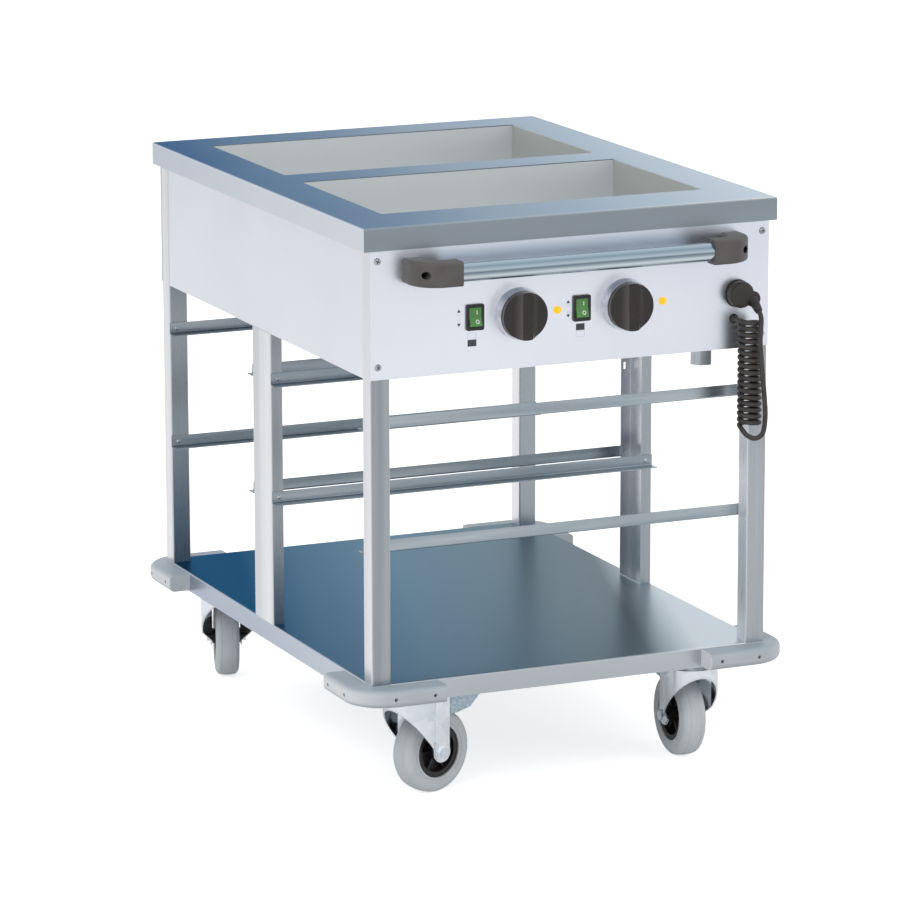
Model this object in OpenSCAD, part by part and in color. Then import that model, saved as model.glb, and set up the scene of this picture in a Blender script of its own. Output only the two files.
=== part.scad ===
// Serving trolley with two heated pan wells, pan runners, a bottom shelf and four swivel castors.
// X runs along the push handle, Y from the handle towards the far end, Z up from the floor.

/* [Worktop] */
// Height of the worktop above the floor
overall_h = 855; // [835:1:900]
// Worktop size along the handle
worktop_w = 650; // [640:1:680]
// Worktop size from the handle end to the far end
worktop_d = 850; // [840:1:880]
// Height of the folded edge
worktop_edge = 34; // [30:1:40]
// Sheet thickness of the worktop
worktop_sheet = 1.5; // [1:0.1:2]
// Outer bend radius of folded sheet
bend_r = 3; // [2.2:0.1:4]

/* [Wells] */
// Well size along the handle
well_w = 510; // [490:1:520]
// Well size across the handle
well_d = 305; // [290:1:312]
// Well depth below the worktop surface
well_depth = 150; // [100:1:165]
// Sheet thickness of the wells
well_sheet = 1.2; // [1:0.1:2]
// Worktop left between the two wells
well_bridge = 66; // [56:1:76]
// Worktop left in front of the first well
well_margin = 102; // [90:1:110]
// Width of the flange welded under the worktop
well_flange = 12; // [8:1:16]
// Radius of the drain hole in a well
drain_r = 10; // [8:0.5:12]

/* [Frame] */
// Overhang of the worktop at the two long sides
side_overhang = 11; // [8:0.5:16]
// Overhang of the worktop at the handle end and the far end
end_overhang = 6; // [5:0.5:10]
// Side of the square corner posts
post_side = 30; // [26:1:34]
// Wall of the corner posts
post_wall = 1.5; // [1.2:0.1:2]
// Width of the channel posts in the middle of the long sides
channel_w = 74; // [64:1:84]
// Flange depth of the channel posts
channel_flange = 18; // [16:1:24]
// Sheet thickness of the channel posts
channel_sheet = 2; // [1.5:0.1:2.5]

/* [Housing] */
// Depth of the heated housing below the worktop surface
housing_h = 220; // [205:1:240]
// Sheet thickness of the panels over the post faces
panel_sheet = 2; // [1.5:0.1:3]
// Sheet thickness of the side panels
side_sheet = 1.2; // [1:0.1:1.5]
// Sheet thickness of the housing floor
floor_sheet = 1.5; // [1:0.1:2]
// Inward fold below a side panel
side_return = 12; // [8:1:14]

/* [Runners] */
// Height of a runner web
runner_web = 18; // [15:1:24]
// Width of a runner flange
runner_flange = 20; // [16:1:26]
// Sheet thickness of the runners
runner_sheet = 1.5; // [1.2:0.1:2]
// Distance from the worktop surface down to the upper runners
runner_drop = 298.5; // [285:0.5:320]
// Distance between runner levels
runner_pitch = 180; // [160:1:190]
// Number of runner levels
runner_levels = 2; // [1:1:2]
// Radius of a rivet shank
rivet_r = 2; // [1.6:0.1:2.4]

/* [Shelf] */
// Height of the shelf surface above the floor
shelf_h = 190; // [186:1:200]
// Height of the folded shelf edge
shelf_edge = 30; // [26:1:30]
// Sheet thickness of the shelf
shelf_sheet = 1.5; // [1.2:0.1:2]
// Width of the cross members under the shelf
member_w = 90; // [86:1:96]
// Sheet thickness of the cross members
member_sheet = 2; // [1.5:0.1:2.5]

/* [Bumpers] */
// How far a bumper stands out from the shelf edge
bumper_out = 34; // [28:1:38]
// Height of a bumper
bumper_h = 26; // [22:1:26]
// Length of a bumper arm from the outer corner
bumper_arm = 137; // [128:1:145]
// Outer corner radius of a bumper in plan
bumper_corner_r = 62; // [50:1:70]
// Rounding of the outer top and bottom edges
bumper_edge_r = 9; // [6:0.5:10]
// Distance from the outer corner to the first screw
bumper_screw_near = 57.5; // [52:0.5:60]
// Distance between the two screws of an arm
bumper_screw_pitch = 61; // [52:1:64]

/* [Handle] */
// Radius of the handle tube
handle_r = 13.5; // [12:0.5:14]
// Wall of the handle tube
handle_wall = 1.5; // [1:0.1:2]
// Distance from the worktop surface down to the handle axis
handle_drop = 64.5; // [60:0.5:66]
// Distance between the bracket screws
handle_span = 500; // [490:1:506]
// Thickness of a bracket in plan
bracket_t = 31; // [30:0.5:33]
// Height of a bracket
bracket_h = 36; // [33:1:40]
// Inner radius of the bracket elbow
bracket_inner_r = 13; // [10:1:16]
// Straight foot of a bracket on the panel
bracket_foot = 18; // [16:1:24]
// Straight sleeve that takes the tube
bracket_sleeve = 24; // [20:1:30]
// Rounding of the bracket edges
bracket_edge_r = 5; // [3:0.5:7]

/* [Controls] */
// Distance from the worktop surface down to the row of controls
control_drop = 140; // [136:1:146]
// Place of the first knob along the handle
knob_x = -84.5; // [-95:0.5:-80]
// Distance between the two sets of controls
control_pitch = 167.2; // [160:0.1:172]
// Distance from a knob to its switch
switch_gap = 69.2; // [66:0.1:74]
// Distance from a knob to its pilot lamp
lamp_gap = 60; // [54:0.5:64]
// Radius of a knob
knob_r = 34.5; // [30:0.5:35]
// Depth of a knob from its back to the front of its grip
knob_depth = 14; // [11:0.5:16]
// Thickness of the knob disc behind the grip
knob_disc = 6; // [4:0.5:7]
// Width of the knob grip at its front
grip_w = 13; // [10:0.5:16]
// Outer radius of a dial ring at the panel
dial_r = 38; // [36.5:0.5:40]
// Depth of a dial ring
dial_depth = 17; // [14:0.5:20]
// Width of a switch frame
switch_w = 27.5; // [26:0.5:32]
// Height of a switch frame
switch_h = 38; // [36.5:0.5:42]
// How far a switch frame stands out
switch_rim = 3; // [2:0.5:3.5]
// Width of a rocker
rocker_w = 18.5; // [16:0.5:20]
// Height of a rocker
rocker_h = 28; // [26:0.5:29]
// Full swing of a rocker in degrees
rocker_swing = 18; // [12:1:20]
// Radius of a pilot lamp
lamp_r = 5.75; // [5:0.25:7]

/* [Cord] */
// Radius of the cord
cord_r = 3.6; // [3.3:0.1:3.7]
// Mean radius of the curls
curl_r = 14.6; // [14:0.1:15.5]
// Drop from one curl to the next
curl_pitch = 9.2; // [8.6:0.1:9.6]
// Number of whole curls
curls = 17; // [12:1:18]

/* [Castors] */
// Height of the castors
castor_h = 160; // [156:1:160]
// Radius of the wheels
wheel_r = 62.5; // [58:0.5:62.5]
// Width of a tyre
tyre_w = 37; // [32:0.5:37]
// Distance between the two front castors
castor_gap_front = 452; // [440:1:464]
// Distance between the two rear castors
castor_gap_rear = 476; // [464:1:484]
// Distance between the castors along the trolley
castor_gap_y = 708; // [690:1:710]
// Trail of the wheel axle behind the swivel axis
castor_trail = 38; // [34:1:40]
// Outer radius of the fork hood
hood_r = 41; // [39:0.5:42]
// Sheet thickness of the fork
fork_sheet = 2.5; // [2:0.1:2.8]
// Radius of the wheel axle
axle_r = 6; // [5:0.5:7]
// Outer radius of a hub
hub_r = 39.5; // [38:0.5:41]
// Swing of a brake pedal in degrees
pedal_swing = 6; // [4:0.5:6]
// Reach of a brake pedal from the swivel axis
pedal_reach = 126; // [120:1:130]

/* [Hidden] */

$fn = 48;

// Overrun of every cut
cut = 1;
// Clearance of a fixed pin in its hole and of a pin that turns
pin_gap = 0.05;
// Gap between faces that move past each other
face_gap = 0.3;

// Outer faces of the post frame
frame_x = worktop_w / 2 - side_overhang;
frame_y = worktop_d / 2 - end_overhang;
top_under = overall_h - worktop_sheet;
floor_under = overall_h - housing_h;
panel_y = frame_y + panel_sheet;
post_corner_r = post_wall * 1.7;

// Handle axis, measured out from the middle of the frame
elbow_mid_r = bracket_inner_r + bracket_t / 2;
handle_y = panel_y + bracket_foot + elbow_mid_r;
handle_z = overall_h - handle_drop;

// The middle of the frame sits so that the overall box is centred on the origin
chassis_y = (handle_y + bracket_t / 2 - frame_y - bumper_out) / 2;

// Middles of the two wells across the handle
well_front_y = -worktop_d / 2 + well_margin + well_d / 2;
well_rear_y = well_front_y + well_d + well_bridge;
well_bottom = overall_h - well_depth - well_sheet;

// Rivets and panel screws sit on one upright line at each post
fixing_inset = 11;
fixing_x = frame_x - fixing_inset;
rivet_head_r = 2 * rivet_r;
rivet_head_h = 0.7 * rivet_r;
screw_r = 2.2;
screw_head_r = 5.3;
screw_head_h = 2.2;
screw_reach = 6;
panel_screw_drops = [worktop_edge + 15, housing_h - 19];
panel_top = overall_h - worktop_edge / 2;
panel_bottom = floor_under + cut;

// Slot in the rear flange of a channel post
slot_w = 3.5;
slot_h = 11;
slot_inset = 12;
slot_drop = runner_drop + runner_pitch / 6;

// Bumpers and their recessed screws
bumper_drop = 2;
bumper_end_r = 3;
bumper_mid_z = shelf_h - bumper_drop - bumper_h / 2;
bumper_screw_r = 1.6;
bumper_bore_r = 2.7;
bumper_bore_depth = 12;
bumper_head_h = 1.6;

// Feet of the posts, let into seats pressed into the shelf
foot_z = shelf_h - shelf_sheet / 2;

// Shelf carriers
member_flange = 14;
member_h = shelf_h - shelf_sheet - castor_h;
member_x = frame_x - bend_r;

// Controls
control_z = overall_h - control_drop;
knob_places = [knob_x, knob_x + control_pitch];
spindle_r = 3;
bush_r = 4.8;
dial_wall = 2;
knob_bevel = 1;
knob_boss_r = 9;
knob_boss_h = 4;
dial_front_r = dial_r - dial_wall;
switch_wall = 1.5;
switch_depth = 20;
rocker_pin_r = 1.5;
rocker_axis_y = panel_y + 0.5;
rocker_half = rocker_h / 2;
rocker_face = rocker_half / 6;
rocker_back = rocker_half / 2;
thermostat_side = 44;
thermostat_depth = 26;
nut_r = 8;
nut_h = 3;
lamp_body_r = lamp_r - 1.5;
lamp_body_l = 18;

// Heater mats under the wells and the drain below them
mat_margin = 25;
mat_h = 3;
pipe_r = 8;
pipe_wall = 1.2;
pipe_z = well_bottom - 38;
outlet_x = 231;
outlet_y = -frame_y + 49;
outlet_r = 17.3;
outlet_h = 26;
outlet_flange_h = 3;

// Parking socket, plug and gland; their places are measured from the panel
plug_x = 263;
plug_z = overall_h - 138;
plug_r = 19.5;
plug_h = 14;
plug_round = 5;
socket_r = 20.5;
socket_flange_h = 3;
socket_collar_r = 19;
socket_h = 6;
socket_body_r = 17;
socket_body_l = 14;
contact_r = 2.4;
contact_gap = 19;
contact_l = 19;
lobe_at = [17, -7];
lobe_r = 11.5;
lobe_h = 8;
relief_h = 24;
relief_r = 6;
gland_x = 257.5;
gland_z = overall_h - 175;
gland_r = 7;
gland_flange_h = 1.5;
gland_l = 8;
gland_body_l = 12;

// Curly cord: the first curl starts level at its left-hand side, where the last one ends
curl_x = gland_x + curl_r;
curl_y = -panel_y - 25;
curl_sides = 6;
curl_steps = 8;
curl_ease = 0.1;
curl_start = 180;
curl_end = 160;
curl_tail = 1;
curl_way = [-sin(curl_end), cos(curl_end), 0];
curl_turns = curls + (curl_end - curl_start) / 360;

// Lead that drops from the last curl, turns and climbs in front of the coil to the plug;
// its points are measured from where the cord leaves the panel
lead_sides = 10;
lead_tail = 3;
lead_steps = [
    [-1, -26.9, -155.7], [-1.1, -31.7, -157.8], [0, -35.6, -161], [2.3, -38.6, -164.9],
    [7.3, -41.8, -168.8], [13.7, -45.1, -170.8], [20.3, -47.8, -168.4], [24.9, -49.3, -162.6],
    [26.7, -49.8, -155], [27.7, -50.2, -145], [27.9, -50.5, -132], [26.9, -50.5, -117],
    [25.1, -50.5, -99], [22.9, -50.5, -78], [20.9, -50.5, -58], [19.1, -50.5, -40],
    [18.3, -50.5, -25], [18.9, -50.2, -14], [20.1, -49, -4.6], [22.1, -45.6, 3.4],
    [23.5, -40.8, 9.3]
];
lead_points = [for (p = lead_steps) [gland_x + p.x, p.y - panel_y, gland_z + p.z]];
// The strain relief of the plug points to where the lead comes in
relief_share = 0.65;
relief_from = [plug_x + lobe_at.x, -panel_y - socket_h - plug_round - relief_share * lobe_h,
               plug_z + lobe_at.y];
relief_way = [1, -18, -14.6];
relief_dir = relief_way / norm(relief_way);

// Castors
castor_y = castor_gap_y / 2;
plate_h = 3;
plate_w = 105;
plate_d = member_w - 5;
plate_r = 6;
plate_holes = [plate_w - 25, plate_d - 25];
bolt_r = 4;
bolt_head_r = 7.5;
bolt_head_h = 5.3;
bolt_nut_h = 6.5;
plate_under = castor_h - plate_h;
race_r = 27;
race_h = 5;
kingpin_r = 6;
kingpin_head_r = 9;
kingpin_head_h = 4;
crown_top = plate_under - 2 * race_h;
leg_half = tyre_w / 2 + 4 + fork_sheet;
leg_from = castor_trail - 16;
leg_end_r = 15.5;
leg_to = castor_trail + leg_end_r - 2;
taper_from = leg_from - 14;
hood_lift = 74.5;
strap_sheet = 2;
strap_from = castor_trail - leg_end_r + 2;
strap_top = plate_under - bolt_head_h - 2 * face_gap - cut / 2;
axle_head_r = 8.5;
axle_head_h = 6;
pivot_r = 2.5;
pivot_x = castor_trail + 4;
pivot_z = crown_top - 7;
pedal_sheet = 2;
pedal_top = plate_under - bolt_head_h - 2 * face_gap;
pedal_half = leg_half - fork_sheet - face_gap;
shoe_fall = 0.62;
shoe_gap = pedal_swing * shoe_fall;
shoe_from = castor_trail + 18;
shoe_l = 14;
shoe_w = 26;
pedal_boss_r = 6;
pedal_shares = [
    [0.08, 0.43], [0.18, 0], [0.38, 0.02], [0.68, 0.14], [0.79, 0.39],
    [0.9, 0.58], [1, 0.86], [1, 1], [0.18, 1], [0.08, 0.83]
];
pedal_low = crown_top - 32;

// Tyre and hub sections
shoulder_r = 11;
crown_r = 60;
groove_r = 1.3;
groove_w_share = 0.23;
side_groove_shares = [0.2, 0.45];
hub_half = leg_half - fork_sheet - face_gap;
hub_rim_t = 8;
hub_rim_half = tyre_w / 2 - 2.5;
hub_web_half = 3;
hub_boss_r = 12;
hub_ribs = 6;
hub_rib_t = 2.5;
hub_rib_half = hub_rim_half - 5;

// Swivel axis, trailing direction in degrees and brake of each castor
front_left = [-castor_gap_front / 2, -castor_y, 19, true];
front_right = [castor_gap_front / 2, -castor_y, 88, true];
rear_left = [-castor_gap_rear / 2, castor_y, 72, false];
rear_right = [castor_gap_rear / 2, castor_y, 120, false];
CASTORS = [front_left, front_right, rear_left, rear_right];

// Moves a piece from the middle of the frame to the part's origin
module on_chassis() {
    translate([0, chassis_y, 0])
        children();
}

// Draws a piece of the right-hand far quarter in the quarter with signs sx and sy
module in_quarter(sx, sy) {
    mirror([sx < 0 ? 1 : 0, 0, 0])
        mirror([0, sy < 0 ? 1 : 0, 0])
            children();
}

// Turns a shape with its axis along Z so that it points out of the front panel
module out_of_panel(x, z, y = -panel_y) {
    translate([x, y, z])
        rotate([90, 0, 0])
            children();
}

module rounded_square(w, h, r) {
    square([w - 2 * r, h], center = true);
    square([w, h - 2 * r], center = true);
    for (x = [-1, 1], y = [-1, 1])
        translate([x * (w / 2 - r), y * (h / 2 - r)])
            circle(r);
}

// Upright outline of a folded sheet: top at zero, edges downwards, rounded bends
module folded_outline(w, edge, r) {
    translate([-w / 2, -edge])
        square([w, edge - r]);
    translate([-w / 2 + r, -edge])
        square([w - 2 * r, edge]);
    for (x = [-1, 1])
        translate([x * (w / 2 - r), -r])
            circle(r);
}

module folded_block(w, d, edge, r) {
    intersection() {
        rotate([90, 0, 0])
            linear_extrude(d, center = true)
                folded_outline(w, edge, r);
        rotate([90, 0, 90])
            linear_extrude(w, center = true)
                folded_outline(d, edge, r);
    }
}

// Sheet with all four edges folded down, its upper face at zero
module folded_tray(w, d, edge, sheet) {
    difference() {
        folded_block(w, d, edge, bend_r);
        translate([0, 0, -sheet])
            folded_block(w - 2 * sheet, d - 2 * sheet, edge, bend_r - sheet);
    }
}

// Worktop and wells

module worktop() {
    color("lightsteelblue")
        on_chassis()
            translate([0, 0, overall_h])
                difference() {
                    folded_tray(worktop_w, worktop_d, worktop_edge, worktop_sheet);
                    for (y = [well_front_y, well_rear_y])
                        translate([-well_w / 2, y - well_d / 2, -worktop_sheet - cut])
                            cube([well_w, well_d, worktop_sheet + 2 * cut]);
                }
}

module well(y) {
    outer_w = well_w + 2 * well_sheet;
    outer_d = well_d + 2 * well_sheet;
    well_h = top_under - well_bottom;
    color("gainsboro")
        on_chassis()
            translate([0, y, 0])
                difference() {
                    union() {
                        translate([-outer_w / 2, -outer_d / 2, well_bottom])
                            cube([outer_w, outer_d, well_h]);
                        translate([-outer_w / 2 - well_flange, -outer_d / 2 - well_flange,
                                   top_under - well_sheet])
                            cube([outer_w + 2 * well_flange, outer_d + 2 * well_flange, well_sheet]);
                    }
                    translate([-well_w / 2, -well_d / 2, well_bottom + well_sheet])
                        cube([well_w, well_d, well_h]);
                    translate([0, 0, well_bottom - cut])
                        cylinder(well_sheet + 2 * cut, r = drain_r);
                }
}

module well_front() {
    well(well_front_y);
}

module well_rear() {
    well(well_rear_y);
}

// Housing

module panel_plate() {
    translate([-frame_x, 0, panel_bottom])
        cube([2 * frame_x, panel_sheet, panel_top - panel_bottom]);
}

// Holes for the four corner screws, through a sheet of any place in Y
module panel_screw_holes(depth) {
    for (x = [-1, 1], drop = panel_screw_drops)
        translate([x * fixing_x, -depth - cut, overall_h - drop])
            rotate([-90, 0, 0])
                cylinder(2 * (depth + cut), r = screw_r + pin_gap);
}

module front_hole(x, z, r) {
    translate([x, -panel_y - cut, z])
        rotate([-90, 0, 0])
            cylinder(panel_sheet + 2 * cut, r = r);
}

module front_panel() {
    body_w = rocker_w + 2 * (face_gap + switch_wall);
    body_h = rocker_h + 2 * (face_gap + switch_wall);
    color("aliceblue")
        on_chassis()
            difference() {
                translate([0, -panel_y, 0])
                    panel_plate();
                translate([0, -frame_y, 0])
                    panel_screw_holes(panel_sheet);
                for (x = knob_places) {
                    front_hole(x, control_z, bush_r + pin_gap);
                    front_hole(x + lamp_gap, control_z, lamp_body_r + pin_gap);
                    translate([x - switch_gap - body_w / 2 - pin_gap, -panel_y - cut,
                               control_z - body_h / 2 - pin_gap])
                        cube([body_w + 2 * pin_gap, panel_sheet + 2 * cut, body_h + 2 * pin_gap]);
                }
                for (x = [-1, 1])
                    front_hole(x * handle_span / 2, handle_z, screw_r + pin_gap);
                front_hole(plug_x, plug_z, socket_body_r + pin_gap);
                front_hole(gland_x, gland_z, relief_r + pin_gap);
            }
}

module rear_panel() {
    color("aliceblue")
        on_chassis()
            difference() {
                translate([0, frame_y, 0])
                    panel_plate();
                translate([0, frame_y, 0])
                    panel_screw_holes(panel_sheet);
            }
}

module side_panel(sx) {
    outer = frame_x - 1;
    panel_l = 2 * (frame_y - post_side);
    bottom = floor_under - side_sheet;
    color("aliceblue")
        on_chassis()
            in_quarter(sx, 1)
                translate([0, -panel_l / 2, 0]) {
                    translate([outer - side_sheet, 0, bottom])
                        cube([side_sheet, panel_l, top_under - bottom]);
                    translate([outer - side_return, 0, bottom])
                        cube([side_return, panel_l, side_sheet]);
                }
}

module side_panel_left() {
    side_panel(-1);
}

module side_panel_right() {
    side_panel(1);
}

module housing_floor() {
    half_x = frame_x - 1 - side_sheet;
    notch = post_side;
    lip_h = 12;
    lip_x = frame_x - post_side;
    color("aliceblue")
        on_chassis()
            translate([0, 0, floor_under])
                difference() {
                    union() {
                        translate([-half_x, -frame_y, 0])
                            cube([2 * half_x, 2 * frame_y, floor_sheet]);
                        for (sy = [-1, 1])
                            in_quarter(1, sy)
                                translate([-lip_x, frame_y - floor_sheet, 0])
                                    cube([2 * lip_x, floor_sheet, lip_h]);
                    }
                    for (sx = [-1, 1], sy = [-1, 1])
                        in_quarter(sx, sy)
                            translate([frame_x - notch, frame_y - notch, -cut])
                                cube([notch + cut, notch + cut, floor_sheet + 2 * cut]);
                    translate([outlet_x, outlet_y, -cut])
                        cylinder(floor_sheet + 2 * cut, r = pipe_r + pin_gap);
                }
}

// Posts

// Heights of the rivets, at the middle of each runner web
function rivet_heights() = [
    for (i = [0:runner_levels - 1]) overall_h - runner_drop - i * runner_pitch + runner_web / 2
];

module rivet_holes(from_y, length) {
    for (z = rivet_heights())
        translate([fixing_x, from_y, z])
            rotate([-90, 0, 0])
                cylinder(length, r = rivet_r + pin_gap);
}

module corner_post(sx, sy) {
    middle = [frame_x - post_side / 2, frame_y - post_side / 2];
    color("silver")
        on_chassis()
            in_quarter(sx, sy)
                difference() {
                    translate([middle.x, middle.y, foot_z])
                        linear_extrude(top_under - foot_z)
                            difference() {
                                rounded_square(post_side, post_side, post_corner_r);
                                square(post_side - 2 * post_wall, center = true);
                            }
                    rivet_holes(frame_y - post_side - cut, post_wall + 2 * cut);
                    for (drop = panel_screw_drops)
                        translate([fixing_x, frame_y - post_wall - cut, overall_h - drop])
                            rotate([-90, 0, 0])
                                cylinder(post_wall + 2 * cut, r = screw_r + pin_gap);
                }
}

module post_front_left() {
    corner_post(-1, -1);
}

module post_front_right() {
    corner_post(1, -1);
}

module post_rear_left() {
    corner_post(-1, 1);
}

module post_rear_right() {
    corner_post(1, 1);
}

// Channel section, open towards the middle of the trolley
module channel_section() {
    inner = channel_w - 2 * channel_sheet;
    translate([frame_x - channel_flange / 2, 0])
        difference() {
            rounded_square(channel_flange, channel_w, channel_sheet);
            translate([-channel_sheet, 0])
                rounded_square(channel_flange, inner, channel_sheet / 2);
        }
    for (sy = [-1, 1])
        translate([frame_x - channel_flange, sy * (channel_w - channel_sheet) / 2 - channel_sheet / 2])
            square([channel_flange / 2, channel_sheet]);
}

module channel_post(sx) {
    post_h = floor_under - side_sheet - foot_z;
    color("silver")
        on_chassis()
            in_quarter(sx, 1)
                difference() {
                    union() {
                        translate([0, 0, foot_z])
                            linear_extrude(post_h)
                                channel_section();
                        translate([frame_x - channel_flange, -channel_w / 2 + channel_sheet, foot_z])
                            cube([channel_flange - channel_sheet, channel_w - 2 * channel_sheet,
                                  channel_sheet]);
                    }
                    rivet_holes(-channel_w / 2 - cut, channel_w + 2 * cut);
                    translate([frame_x - slot_inset - slot_w / 2, channel_w / 2 - channel_sheet - cut,
                               overall_h - slot_drop - slot_h])
                        cube([slot_w, channel_sheet + 2 * cut, slot_h]);
                }
}

module channel_post_left() {
    channel_post(-1);
}

module channel_post_right() {
    channel_post(1);
}

// Shelf and its carriers

// Seats of the corner posts and the channel posts
module post_seats() {
    corner = post_side + pin_gap;
    for (sx = [-1, 1], sy = [-1, 0, 1])
        in_quarter(sx, sy)
            translate([0, 0, foot_z])
                if (sy == 0)
                    translate([frame_x - channel_flange - pin_gap, -channel_w / 2 - pin_gap, 0])
                        cube([channel_flange + pin_gap + cut, channel_w + 2 * pin_gap, cut]);
                else
                    translate([frame_x - corner, frame_y - corner, 0])
                        cube([corner + cut, corner + cut, cut]);
}

module bottom_shelf() {
    color("steelblue")
        on_chassis()
            difference() {
                translate([0, 0, shelf_h])
                    folded_tray(2 * frame_x, 2 * frame_y, shelf_edge, shelf_sheet);
                post_seats();
                bumper_screw_places()
                    translate([0, 0, -bumper_out - screw_reach])
                        cylinder(bumper_out + screw_reach, r = bumper_screw_r + pin_gap);
            }
}

// Upside-down hat section of a cross member, bottom at zero
module member_section() {
    difference() {
        union() {
            translate([-member_w / 2, 0])
                square([member_w, member_h]);
            translate([-member_w / 2 - member_flange, member_h - member_sheet])
                square([member_w + 2 * member_flange, member_sheet]);
        }
        translate([-member_w / 2 + member_sheet, member_sheet])
            square([member_w - 2 * member_sheet, member_h]);
    }
}

module cross_members() {
    color("silver")
        on_chassis()
            difference() {
                for (sy = [-1, 1])
                    translate([0, sy * castor_y, castor_h])
                        rotate([90, 0, 90])
                            linear_extrude(2 * member_x, center = true)
                                member_section();
                for (c = CASTORS)
                    translate([c[0], c[1], castor_h - cut])
                        bolt_circle()
                            cylinder(member_sheet + 2 * cut, r = bolt_r + pin_gap);
            }
}

// Bumpers

// Section of a bumper: outwards from zero, outer edges rounded
module bumper_section(depth) {
    translate([0, -bumper_h / 2])
        square([depth - bumper_edge_r, bumper_h]);
    translate([0, -bumper_h / 2 + bumper_edge_r])
        square([depth, bumper_h - 2 * bumper_edge_r]);
    for (z = [-1, 1])
        translate([depth - bumper_edge_r, z * (bumper_h / 2 - bumper_edge_r)])
            circle(bumper_edge_r);
}

// Plan of one arm along X, its free end rounded
module bumper_arm_plan(length) {
    translate([-length, 0])
        square([length, bumper_out - bumper_end_r]);
    translate([-length + bumper_end_r, 0])
        square([length, bumper_out]);
    translate([-length + bumper_end_r, bumper_out - bumper_end_r])
        circle(bumper_end_r);
}

module bumper_arm_solid() {
    length = bumper_arm - bumper_corner_r;
    intersection() {
        rotate([90, 0, -90])
            linear_extrude(length)
                mirror([1, 0])
                    bumper_section(bumper_out);
        translate([0, 0, -bumper_h / 2])
            linear_extrude(bumper_h)
                bumper_arm_plan(length);
    }
}

module bumper(sx, sy) {
    corner = [frame_x + bumper_out - bumper_corner_r, frame_y + bumper_out - bumper_corner_r];
    color("lightgray")
        on_chassis()
            difference() {
                in_quarter(sx, sy)
                    difference() {
                        translate([0, 0, bumper_mid_z]) {
                            translate([corner.x, frame_y, 0])
                                bumper_arm_solid();
                            translate([frame_x, corner.y, 0])
                                mirror([1, -1, 0])
                                    bumper_arm_solid();
                            translate([corner.x, corner.y, 0])
                                rotate_extrude(angle = 90)
                                    bumper_section(bumper_corner_r);
                        }
                        translate([0, 0, bumper_mid_z - bumper_h])
                            cube([frame_x, frame_y, 2 * bumper_h]);
                    }
                bumper_screw_places() {
                    translate([0, 0, -bumper_bore_depth])
                        cylinder(bumper_bore_depth + cut, r = bumper_bore_r);
                    translate([0, 0, -bumper_out - cut])
                        cylinder(bumper_out, r = bumper_screw_r + pin_gap);
                }
            }
}

// Puts a child at each bumper screw, its axis along Z out of the bumper's face
module bumper_screw_places() {
    for (sx = [-1, 1], sy = [-1, 1], i = [0, 1]) {
        along = bumper_screw_near + i * bumper_screw_pitch;
        in_quarter(sx, sy) {
            translate([frame_x + bumper_out - along, frame_y + bumper_out, bumper_mid_z])
                rotate([-90, 0, 0])
                    children();
            translate([frame_x + bumper_out, frame_y + bumper_out - along, bumper_mid_z])
                rotate([0, 90, 0])
                    children();
        }
    }
}

module bumper_front_left() {
    bumper(-1, -1);
}

module bumper_front_right() {
    bumper(1, -1);
}

module bumper_rear_left() {
    bumper(-1, 1);
}

module bumper_rear_right() {
    bumper(1, 1);
}

// Runners

// Angle section with a rounded bend: web at zero going up, flange along the second axis
module runner_section() {
    outer_r = 2 * runner_sheet;
    difference() {
        union() {
            translate([0, outer_r])
                square([runner_sheet, runner_web - outer_r]);
            translate([outer_r, 0])
                square([runner_flange - outer_r, runner_sheet]);
            translate([outer_r, outer_r])
                circle(outer_r);
        }
        translate([runner_sheet, runner_sheet + outer_r / 2])
            square([runner_flange, runner_web]);
        translate([runner_sheet + outer_r / 2, runner_sheet])
            square([runner_flange, runner_web]);
        translate([outer_r, outer_r])
            circle(outer_r - runner_sheet);
    }
}

// One line of runners with its webs at y, the flanges pointing to side dir
module runner_line(y, dir) {
    color("silver")
        on_chassis()
            difference() {
                for (i = [0:runner_levels - 1])
                    translate([0, y, overall_h - runner_drop - i * runner_pitch])
                        mirror([0, dir < 0 ? 1 : 0, 0])
                            rotate([90, 0, 90])
                                linear_extrude(2 * frame_x, center = true)
                                    runner_section();
                for (sx = [-1, 1])
                    in_quarter(sx, 1)
                        rivet_holes(y - 2 * runner_sheet, 4 * runner_sheet);
            }
}

module runners_front() {
    runner_line(-frame_y + post_side, 1);
}

module runners_middle_front() {
    runner_line(-channel_w / 2, -1);
}

module runners_middle_rear() {
    runner_line(channel_w / 2, 1);
}

module runners_rear() {
    runner_line(frame_y - post_side, -1);
}

// Rivet with its round head outside the runner web and its shank through web and post
module rivet(y, dir, wall) {
    for (sx = [-1, 1], z = rivet_heights())
        translate([sx * fixing_x, y + dir * runner_sheet, z])
            rotate([-90 * dir, 0, 0]) {
                rotate_extrude()
                    intersection() {
                        translate([0, -rivet_head_r])
                            circle(rivet_head_r * 1.28);
                        square([rivet_head_r, rivet_head_h]);
                    }
                translate([0, 0, -runner_sheet - wall - rivet_r])
                    cylinder(runner_sheet + wall + rivet_r, r = rivet_r);
            }
}

module rivets() {
    color("silver")
        on_chassis() {
            rivet(-frame_y + post_side, 1, post_wall);
            rivet(-channel_w / 2, -1, channel_sheet);
            rivet(channel_w / 2, 1, channel_sheet);
            rivet(frame_y - post_side, -1, post_wall);
        }
}

// Screws

// Pan-head screw, its seat at zero and its head upwards
module pan_screw(length) {
    rotate_extrude()
        intersection() {
            translate([0, -screw_head_h])
                circle(screw_head_r + cut / 2);
            square([screw_head_r, screw_head_h]);
        }
    translate([0, 0, -length])
        cylinder(length, r = screw_r);
}

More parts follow.
